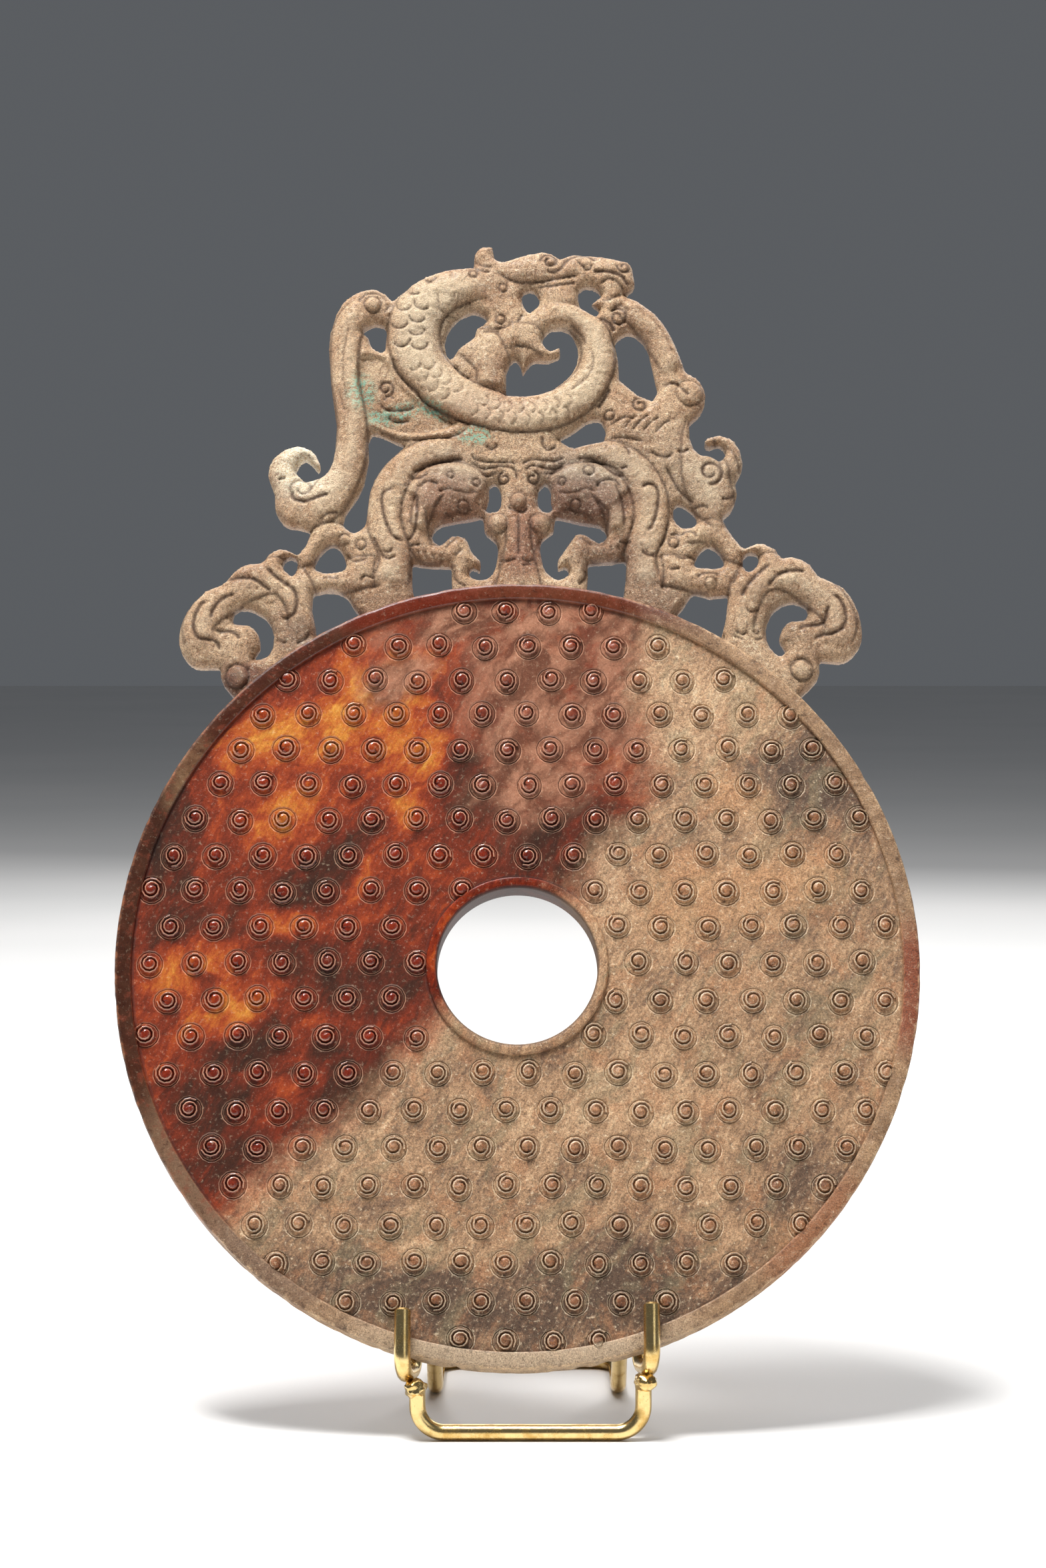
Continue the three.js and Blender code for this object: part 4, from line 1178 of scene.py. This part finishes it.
class Recipe:
    """A finish, made of shader nodes."""

    def __init__(self, name, **plain):
        self.material = bpy.data.materials.new(name)
        self.material.use_nodes = True
        self.tree = self.material.node_tree
        self.shader = self.tree.nodes["Principled BSDF"]
        for socket, value in plain.items():
            self.shader.inputs[socket.replace("_", " ")].default_value = value

    def node(self, kind, values=None, stops=None, **settings):
        """A node of this kind: its settings first, then the values or links of its sockets."""
        made = self.tree.nodes.new(kind)
        for key, value in settings.items():
            setattr(made, key, value)
        if stops:
            set_stops(made.color_ramp, stops)
        for key, value in (values or {}).items():
            self.feed(made.inputs[key], value)
        return made

    def feed(self, socket, value):
        """Links a socket to a value that varies, or sets it to one that doesn't."""
        if isinstance(value, Level):
            value = value.socket
        if isinstance(value, bpy.types.NodeSocket):
            self.tree.links.new(value, socket)
        else:
            socket.default_value = value

    def maths(self, operation, *values):
        made = self.node("ShaderNodeMath", dict(enumerate(values)), operation=operation)
        return Level(self, made.outputs[0])

    def vector(self, operation, *values):
        made = self.node("ShaderNodeVectorMath", dict(enumerate(values)), operation=operation)
        return made.outputs[0]

    def length(self, vector):
        made = self.node("ShaderNodeVectorMath", {0: vector}, operation="LENGTH")
        return Level(self, made.outputs["Value"])

    def parts(self, vector):
        """The three numbers of a vector."""
        split = self.node("ShaderNodeSeparateXYZ", {0: vector})
        return [Level(self, out) for out in split.outputs]

    def mark(self, name):
        """A value that was left on the mesh where it was made."""
        return Level(self, self.node("ShaderNodeAttribute", attribute_name=name).outputs["Fac"])

    def mix(self, factor, first, second, mode="MIX"):
        """Two colours, mixed; sockets 0, 6 and 7 are the factor and the colours."""
        values = {0: factor, 6: first, 7: second}
        return self.node("ShaderNodeMix", values, data_type="RGBA", blend_type=mode).outputs[2]

    def ramp(self, level, stops):
        return self.node("ShaderNodeValToRGB", {0: level}, stops=stops).outputs[0]

    def grey(self, level):
        return self.node("ShaderNodeCombineColor", {0: level, 1: level, 2: level}).outputs[0]

    def grain(self, place, scale, detail, roughness=0.55):
        values = {"Vector": place, "Scale": scale, "Detail": detail, "Roughness": roughness}
        return self.node("ShaderNodeTexNoise", values)

    def cloud(self, place, scale, detail, roughness=0.55):
        """Cloudy noise, from 0 to 1."""
        return Level(self, self.grain(place, scale, detail, roughness).outputs["Fac"])

    def warped(self, place, scale, amount, detail=3):
        """The place pushed about, so that what is drawn at it gets ragged edges."""
        push = self.grain(place, scale, detail).outputs["Color"]
        shift = self.vector("MULTIPLY_ADD", push, (amount,) * 3, (-amount / 2,) * 3)
        return self.vector("ADD", place, shift)

    def set_in(self, place, turn, size, middle=(0, 0, 0)):
        """The place as seen from a middle, with the given turn and size."""
        values = {
            "Vector": place, "Location": middle, "Rotation": (0, 0, math.radians(turn)), "Scale": size,
        }
        return self.node("ShaderNodeMapping", values, vector_type="TEXTURE").outputs[0]

    def streaks(self, place, turn, along, across, detail, roughness=0.55):
        """Cloudy noise drawn out into streaks that run at an angle."""
        return self.cloud(self.set_in(place, turn, (along, across, across)), 1.0, detail, roughness)

    def patch(self, place, u, v, across, up, turn=0.0, *, soft):
        """A soft oval area of the face."""
        away = self.length(self.set_in(place, turn, (across, up, 1000), (u, v, 0)))
        return 1 - away.rise(1 - soft, 1 + soft)

    def patches(self, place, spots, soft):
        """Soft oval areas as one; each spot is its middle u and v, half sizes and turn."""
        whole = None
        for spot in spots:
            one = self.patch(place, *spot, soft=soft)
            whole = one if whole is None else whole.most(one)
        return whole

    def finish(self, colour, roughness, bump, height, **more):
        """Feeds the shader; the height of the bump is in metres."""
        self.feed(self.shader.inputs["Base Color"], colour)
        self.feed(self.shader.inputs["Roughness"], roughness)
        relief = self.node("ShaderNodeBump", {"Height": bump, "Distance": height, "Strength": 1.0})
        self.feed(self.shader.inputs["Normal"], relief.outputs["Normal"])
        for key, value in more.items():
            self.feed(self.shader.inputs[key.replace("_", " ")], value)
        return self.material

    def disc_place(self):
        """Millimetres in the plane of the disc: u, v and n."""
        at = self.node("ShaderNodeTexCoord").outputs["Object"]
        values = {
            "Vector": at, "Location": to_disc.translation, "Rotation": (LEAN - math.pi / 2, 0, 0),
            "Scale": (1 / MM,) * 3,
        }
        return self.node("ShaderNodeMapping", values).outputs[0]


def disc_masks(stone, place):
    """Masks of the disc's cuts, their lips, the raised bosses, the outer rim, field, side and bore."""
    n = stone.parts(place)[2]
    away = stone.length(stone.vector("MULTIPLY", place, (1, 1, 0)))
    field = away.rise(FIELD_INNER - 0.1, FIELD_INNER + 0.3)
    field = field * (1 - away.rise(FIELD_OUTER - 0.3, FIELD_OUTER + 0.1))
    lift = abs(n - MID_PLANE) - FIELD_HALF
    cut = (1 - lift.rise(-0.3, -0.1)) * field
    # the outer lip of each ring groove, lightened in the finish as rubbed wear and painted highlight
    lip_wear_and_highlight = lift.rise(-0.22, -0.1) * (1 - lift.rise(-0.05, 0.01)) * field
    raised = lift.rise(0.15, 0.75) * field
    rim = away.rise(FIELD_OUTER - 0.2, FIELD_OUTER + 0.6)
    # a line along the foot of each rim, darkened with the cuts as painted shade
    line = 1 - abs(away - (FIELD_OUTER - 0.15)).rise(0.1, 0.5)
    line = line.most(1 - abs(away - (FIELD_INNER + 0.15)).rise(0.1, 0.5))
    side = away.rise(DISC_RADIUS - 0.9, DISC_RADIUS - 0.3)
    bore = 1 - away.rise(HOLE_RADIUS + 0.1, HOLE_RADIUS + 0.8)
    return cut.most(0.8 * line), lip_wear_and_highlight, raised, rim, field, side, bore


def amber_part(stone, ragged, wisps, fibre):
    """Amber and red-brown stone, in streaks that rise to the right."""
    streak = stone.streaks(ragged, 54, 34, 9, 6, 0.6)
    bright = stone.patches(ragged, (
        (-50, 62, 20, 9, 20), (-28, 62, 7, 12, 10), (-62, 38, 10, 6, 30), (-29, 38, 6, 5, 0),
        (-80, 1, 8, 5, 20), (-74, -12, 9, 5, 10), (-57, 11, 7, 4, 0), (-36, 66, 12, 16, 0),
        (-26, 78, 8, 8, 0),
    ), 0.6)
    dark = stone.patches(ragged, (
        (-12, 46, 7, 13, 15), (-38, -3, 14, 9, 0), (-56, 2, 9, 5, 20), (-65, -22, 10, 8, 0),
        (-76, -36, 12, 10, 0), (-52, 22, 18, 7, 35), (12, 32, 20, 9, 10), (-70, -48, 10, 8, 0),
        (-88, 30, 6, 22, 0), (-44, -26, 12, 9, 40), (-84, 14, 8, 6, 0), (-2, 58, 5, 8, 0),
    ), 0.6)
    warmth = 0.42 + 0.8 * (streak - 0.5) + 0.5 * (wisps - 0.5) + 0.36 * (fibre - 0.5)
    warmth = warmth + 0.24 * bright - 0.22 * dark
    rust = stone.patches(ragged, (
        (10, 70, 24, 22, 0), (0, 90, 34, 9, 0), (-30, 76, 9, 6, 20), (4, 48, 16, 12, 30),
    ), 0.55)
    rust = rust * stone.cloud(ragged, 0.09, 5, 0.6).rise(0.22, 0.5) * 0.95
    rosy = stone.streaks(ragged, 50, 12, 4, 5).rise(0.35, 0.65)
    rosy = stone.mix(rosy, tint("5f3a2a"), tint("a3735a"))
    return stone.mix(rust, stone.ramp(warmth, AMBER_STOPS), rosy)


def tan_part(stone, broad, ragged, wisps, fibre):
    """Tan and beige stone, with grey-green veins and warmer stains."""
    fade = stone.patches(ragged, (
        (44, 66, 22, 16, 30), (30, -32, 18, 14, 20), (62, -56, 12, 18, -40), (20, 10, 10, 16, 0),
    ), 0.7)
    shade = stone.patches(ragged, (
        (22, -82, 38, 12, 8), (66, -58, 10, 16, -40), (78, 48, 16, 14, 0), (-20, -84, 40, 8, -8),
    ), 0.7)
    pale = 0.5 + 0.85 * (stone.streaks(ragged, 50, 26, 10, 6, 0.6) - 0.5)
    pale = pale + 0.7 * (wisps - 0.5) + 0.8 * (fibre - 0.5) + 0.16 * fade - 0.36 * shade - 0.06
    green = stone.streaks(broad, 52, 30, 5.5, 5, 0.62).rise(0.52, 0.62) * 0.42
    veined = stone.mix(green, stone.ramp(pale, TAN_STOPS), tint("7a6e52"))
    stained = stone.cloud(ragged, 0.11, 6, 0.7).rise(0.5, 0.64) * 0.42
    veined = stone.mix(stained, veined, tint("a56f48"))
    blush = stone.patches(ragged, (
        (41, 16, 12, 9, 20), (54, 45, 9, 7, 0), (73, -69, 12, 9, 0), (62, 20, 18, 10, 30),
    ), 0.7)
    return stone.mix(blush * 0.4, veined, tint("bd8a5c"))


def rim_part(stone, ragged, steady, worn, amber):
    """The outer rim, with its own stretches of colour, pale wear and dirt."""
    edge = stone.cloud(ragged, 0.2, 6).rise(0.35, 0.65)
    edge = stone.mix(edge, tint("7b5e44"), tint("9c7c5c"))
    for spot, colour in (
        ((0, 99, 62, 14), "55200f"), ((-99, 10, 16, 76), "2c0e08"), ((-76, -66, 30, 30), "715845"),
        ((2, -100, 52, 14), "ab967c"), ((99, -6, 12, 16), "7a3a22"), ((74, -68, 16, 16), "8a5a3c"),
        ((-66, 76, 34, 26), "300b05"), ((-30, 94, 20, 8), "5c1c0c"),
    ):
        edge = stone.mix(stone.patch(steady, *spot, soft=0.4) * 0.92, edge, tint(colour))
    edge = stone.mix(worn.rise(0.5, 0.7) * (0.4 - 0.3 * amber), edge, tint("c0a284"))
    edge = stone.mix(worn.rise(0.5, 0.66) * amber * 0.5, edge, tint("6c1d0a"))
    return stone.mix((1 - worn.rise(0.3, 0.46)) * 0.6, edge, tint("26100a"))


def disc_finish():
    """Amber and red-brown stone on the upper left, tan on the lower right, and a frayed border."""
    stone = Recipe(
        "disc_jade", Subsurface_Weight=0.08, Subsurface_Radius=(1.0, 0.45, 0.25),
        Subsurface_Scale=0.0025, Coat_Roughness=0.12, IOR=1.5, Specular_IOR_Level=0.35,
    )
    place = stone.disc_place()
    steady = stone.warped(place, 0.2, 4)
    broad = stone.warped(place, 0.03, 26)
    ragged = stone.warped(broad, 0.28, 3.4, 4)
    u, v, _ = stone.parts(ragged)
    right = 31 - u - 0.5 * (45 - v).most(0)
    lower = (v - u - 6) * 0.7
    frayed = 16 * (stone.cloud(place, 0.12, 7, 0.66) - 0.5)
    frayed = frayed + 7 * (stone.cloud(place, 0.5, 5, 0.7) - 0.5)
    amber = (right.least(lower) + frayed).rise(-7, 8)

    def either(tan_code, amber_code):
        return stone.mix(amber, tint(tan_code), tint(amber_code))

    wisps = stone.streaks(ragged, 48, 9, 2.2, 5, 0.6)
    fibre = stone.streaks(place, 62, 3.2, 0.8, 6, 0.7)
    fire = amber_part(stone, ragged, wisps, fibre)
    body = stone.mix(amber, tan_part(stone, broad, ragged, wisps, fibre), fire)

    # the rim has colours of its own, and its outer side is scuffed
    cut, lip_wear_and_highlight, raised, rim, field, side, bore = disc_masks(stone, place)
    worn = stone.cloud(steady, 0.35, 6, 0.7)
    body = stone.mix(rim * 0.95, body, rim_part(stone, ragged, steady, worn, amber))
    body = stone.mix(side * worn.rise(0.44, 0.6) * 0.45, body, either("c4a782", "a8704a"))

    # bosses a little redder than the field; their ridges and ring lips lightened as rubbed wear and
    # painted highlight
    # the spiral grooves of the bosses join the cuts, darkened below as wax and painted shade
    cut = cut.most(stone.mark("hollow").rise(0.3, 0.9))
    lip_wear_and_highlight = lip_wear_and_highlight.most(1.4 * stone.mark("crown").rise(0.45, 0.95))
    body = stone.mix(raised * 0.5, body, either("8c5430", "7c2413"))
    body = stone.mix(lip_wear_and_highlight * 0.42, body, either("e2d0b2", "d8a98c"))

    # fine grain all over, then dark wax and painted shade in the grooves, and painted shade in the bore
    fine = stone.cloud(place, 2.6, 3, 0.7)
    speck = stone.cloud(place, 0.9, 6, 0.75)
    dust = speck.rise(0.55, 0.7) * (1 - amber * 0.68) * (1 - 0.4 * rim)
    body = stone.mix(0.75 * dust, body, tint("dcc8a8"))
    specks = 0.75 * (1 - speck.rise(0.3, 0.47)) * (1 - amber * 0.4)
    body = stone.mix(specks, body, tint("452c1c"))
    body = stone.mix(0.5 * (1 - amber * 0.6), body, stone.grey(fine.rise(0.25, 0.75)), "OVERLAY")
    body = stone.mix(cut * (0.22 + 0.26 * amber), body, either("553a25", "33150d"))
    # the wall of the bore painted dark, as painted shade
    body = stone.mix(bore * 0.85, body, either("5a4534", "24110b"))
    rough = 0.46 - 0.21 * amber + 0.24 * side + 0.3 * bore + 0.2 * cut - 0.08 * raised
    rough = rough + 0.1 * (fine - 0.5) + 0.14 * (speck - 0.5)
    pits = 0.5 * fine + 0.7 * speck + 0.3 * wisps
    gloss = field * (0.3 * amber + 0.08 * raised)
    return stone.finish(body, rough, pits * (1 - 0.6 * amber), 0.00018, Coat_Weight=gloss)


def crest_finish():
    """Sandy stone with dark heads, ridges lightened by wear and painted highlight, dirt and painted
    shade in the carving, and a little verdigris.
    """
    stone = Recipe(
        "crest_jade", Subsurface_Weight=0.06, Subsurface_Radius=(1.0, 0.5, 0.3),
        Subsurface_Scale=0.002, Coat_Roughness=0.2, IOR=1.5, Specular_IOR_Level=0.35,
    )
    place = stone.disc_place()
    broad = stone.warped(place, 0.05, 14)
    ragged = stone.warped(broad, 0.4, 2.4, 4)
    wisps = stone.streaks(ragged, 35, 9, 3, 6, 0.62)
    pale = 0.5 + 0.6 * (stone.cloud(ragged, 0.055, 6, 0.6) - 0.5) + 0.36 * (wisps - 0.5)
    body = stone.ramp(pale, CREST_STOPS)
    for spot, colour, amount in (
        ((-17, 123, 10, 8), "774832", 0.8),
        ((17, 123, 11, 8.5), "643d2e", 0.85),
        ((0.3, 112, 5.5, 11), "7a452f", 0.75),
        ((-14, 131, 8, 5), "8f8474", 0.3),
        ((15, 131, 9, 5), "8b8274", 0.4),
        ((-22, 170, 9, 12), "a99a82", 0.4),
        ((-8, 148, 16, 4), "a9745a", 0.45),
        ((14, 158, 6, 14), "b39878", 0.4),
        ((-30, 146, 9, 7), "9a7350", 0.5),
        ((24, 107, 9, 6), "6c4c3a", 0.6),
        ((-24, 107, 8, 5), "8a6044", 0.5),
        ((-34, 98, 9, 6), "7d583f", 0.4),
        ((34, 98, 9, 6), "6b4b3c", 0.5),
        ((-70, 74, 9, 6), "5e2f20", 0.8),
        ((-57, 88, 6, 5), "6a4c3c", 0.6),
        ((0, 187, 12, 5), "a98c70", 0.4),
        # this near-white oval on the left curl is a painted highlight
        ((-55, 131, 8, 9), "eedfc2", 0.8),
        ((30, 136, 16, 8), "a38b70", 0.4),
        ((48, 130, 9, 10), "94826c", 0.4),
        ((72, 92, 9, 9), "8d7258", 0.5),
    ):
        body = stone.mix(stone.patch(ragged, *spot, soft=0.6) * amount, body, tint(colour))

    # fine grain all over
    fine = stone.cloud(place, 2.8, 3, 0.7)
    speck = stone.cloud(place, 1.0, 6, 0.75)
    fibre = stone.streaks(place, 70, 2.4, 0.9, 6, 0.7)
    body = stone.mix(0.5 * speck.rise(0.53, 0.68), body, tint("f0e0c2"))
    specks = 0.75 * (1 - (0.5 * speck + 0.5 * fibre).rise(0.37, 0.5))
    body = stone.mix(specks, body, tint("6c4424"))
    body = stone.mix(0.6, body, stone.grey(fine.rise(0.25, 0.75)), "OVERLAY")

    # verdigris, ridges lightened as rubbed wear and painted highlight, and the hollows darkened as dirt
    # and painted shade
    verdigris = stone.patches(place, (
        (-40.5, 152.5, 3.4, 5, 0), (-31, 147, 7, 2.4, 20), (-22, 148, 4, 2, -30),
        (-11, 140.6, 4, 2.6, 0), (-36, 146, 3, 2, 0),
    ), 0.5)
    body = stone.mix(verdigris * speck.rise(0.46, 0.56) * 0.9, body, tint("7fb39a"))
    heads = stone.patches(place, ((-17, 122, 11, 9, 0), (17, 122, 12, 9, 0), (0.3, 112, 6, 14, 0)), 0.5)
    crest_wear_and_highlight = stone.mark("crown") * (0.3 + 0.5 * speck) * (0.75 - 0.6 * heads)
    body = stone.mix(crest_wear_and_highlight, body, tint("ead6b4"))
    # the hollows darkened as dirt and painted shade
    dirt_and_shade = (stone.mark("hollow") * (0.75 + 0.6 * (speck - 0.4))).rise(0.1, 0.9)
    body = stone.mix(dirt_and_shade * 0.85, body, tint("3a2010"))
    rough = 0.42 + 0.1 * (fine - 0.5) + 0.16 * (speck - 0.5) + 0.22 * dirt_and_shade
    pits = 1.1 * fine + 1.0 * speck + 0.4 * fibre
    return stone.finish(body, rough, pits, 0.00045, Coat_Weight=0.06)


def brass_finish():
    metal = Recipe("brass", Metallic=1.0)
    place = metal.disc_place()
    drawn = metal.cloud(place, 6.0, 2, 0.5)
    stain = metal.cloud(metal.warped(place, 0.3, 2), 0.22, 5, 0.62)
    spots = metal.cloud(place, 1.3, 4, 0.7)
    body = metal.mix(stain.rise(0.42, 0.7), tint("e2c68a"), tint("c2a05e"))
    body = metal.mix(spots.rise(0.62, 0.72) * 0.5, body, tint("6e5128"))
    rough = 0.2 + 0.1 * stain.rise(0.4, 0.7) + 0.1 * (drawn - 0.5) + 0.15 * spots.rise(0.6, 0.7)
    return metal.finish(body, rough, drawn + 0.6 * stain, 0.00002)


def floor_finish():
    paper = Recipe("floor", Specular_IOR_Level=0.25)
    at = paper.node("ShaderNodeTexCoord").outputs["Object"]
    tone = paper.cloud(at, 3.0, 2)
    body = paper.mix(tone.rise(0.2, 0.8), tint("e6e5e3"), tint("eceae8"))
    return paper.finish(body, 0.55 + 0.1 * tone, paper.cloud(at, 900.0, 2), 0.00002)


# ------------------------------------------------------------------ pieces

jade = disc_finish()
crest_stone = crest_finish()
brass = brass_finish()

disc = finish_piece(disc_mesh(), "jade_disc", jade, "bi_disc", smooth_angle=27)
round_bosses(disc.data)
finish_piece(crest_mesh(), "jade_crest", crest_stone, "bi_disc", smooth_angle=180)
for name, mesh, node in (
    ("cradle", wire_tube(cradle_path()), "cradle_wire"),
    ("front_foot_wire", front_foot_mesh(), "front_foot"),
    ("rear_foot_wire", rear_foot_mesh(), "rear_foot"),
):
    finish_piece(mesh, name, brass, node, place=stand_to_world, smooth_angle=40)


# ------------------------------------------------------------------ stage, light and camera

# name, place, size and power
LIGHTS = (
    ("key", (-0.25, -0.14, 1.35), (0.6, 0.35), 35),
    ("fill", (0.9, -1.2, 0.5), (0.6, 0.8), 1.6),
    ("top", (0.2, 0.5, 1.3), (1.2, 0.7), 8),
    ("back", (0.3, 1.4, 0.8), (1.4, 0.8), 8),
)
LIGHT_AIM = (0, 0, 0.15)
SKY_COLOUR = (0.8, 0.85, 0.92, 1)
SKY_STRENGTH = 0.13

FLOOR_SIZE = 12.0
CAMERA_PLACE = (0.00141, -0.98644, 0.2105)
CAMERA_PITCH = math.radians(86.841)
FOCAL_LENGTH = 90
SENSOR_HEIGHT = 36


def add_floor():
    bm = bmesh.new()
    bmesh.ops.create_grid(bm, x_segments=1, y_segments=1, size=FLOOR_SIZE / 2)
    mesh = mesh_of(bm)
    mesh.materials.append(floor_finish())
    new_object("floor", mesh)


def add_light(name, place, size, power):
    lamp = bpy.data.lights.new(name, "AREA")
    lamp.shape = "RECTANGLE"
    lamp.size, lamp.size_y = size
    lamp.energy = power
    holder = bpy.data.objects.new(name, lamp)
    holder.location = place
    holder.rotation_euler = (Vector(LIGHT_AIM) - Vector(place)).to_track_quat("-Z", "Y").to_euler()
    scene.collection.objects.link(holder)


def add_camera():
    lens = bpy.data.cameras.new("camera")
    lens.lens = FOCAL_LENGTH
    lens.sensor_fit = "VERTICAL"
    lens.sensor_height = SENSOR_HEIGHT
    lens.clip_end = 50
    holder = bpy.data.objects.new("camera", lens)
    holder.location = CAMERA_PLACE
    holder.rotation_euler = (CAMERA_PITCH, 0, 0)
    scene.collection.objects.link(holder)
    scene.camera = holder


add_floor()
for light in LIGHTS:
    add_light(*light)
add_camera()

world = bpy.data.worlds.new("studio")
world.use_nodes = True
sky = world.node_tree.nodes["Background"]
sky.inputs["Color"].default_value = SKY_COLOUR
sky.inputs["Strength"].default_value = SKY_STRENGTH
scene.world = world
scene.view_settings.view_transform = "Standard"

bpy.context.view_layer.update()
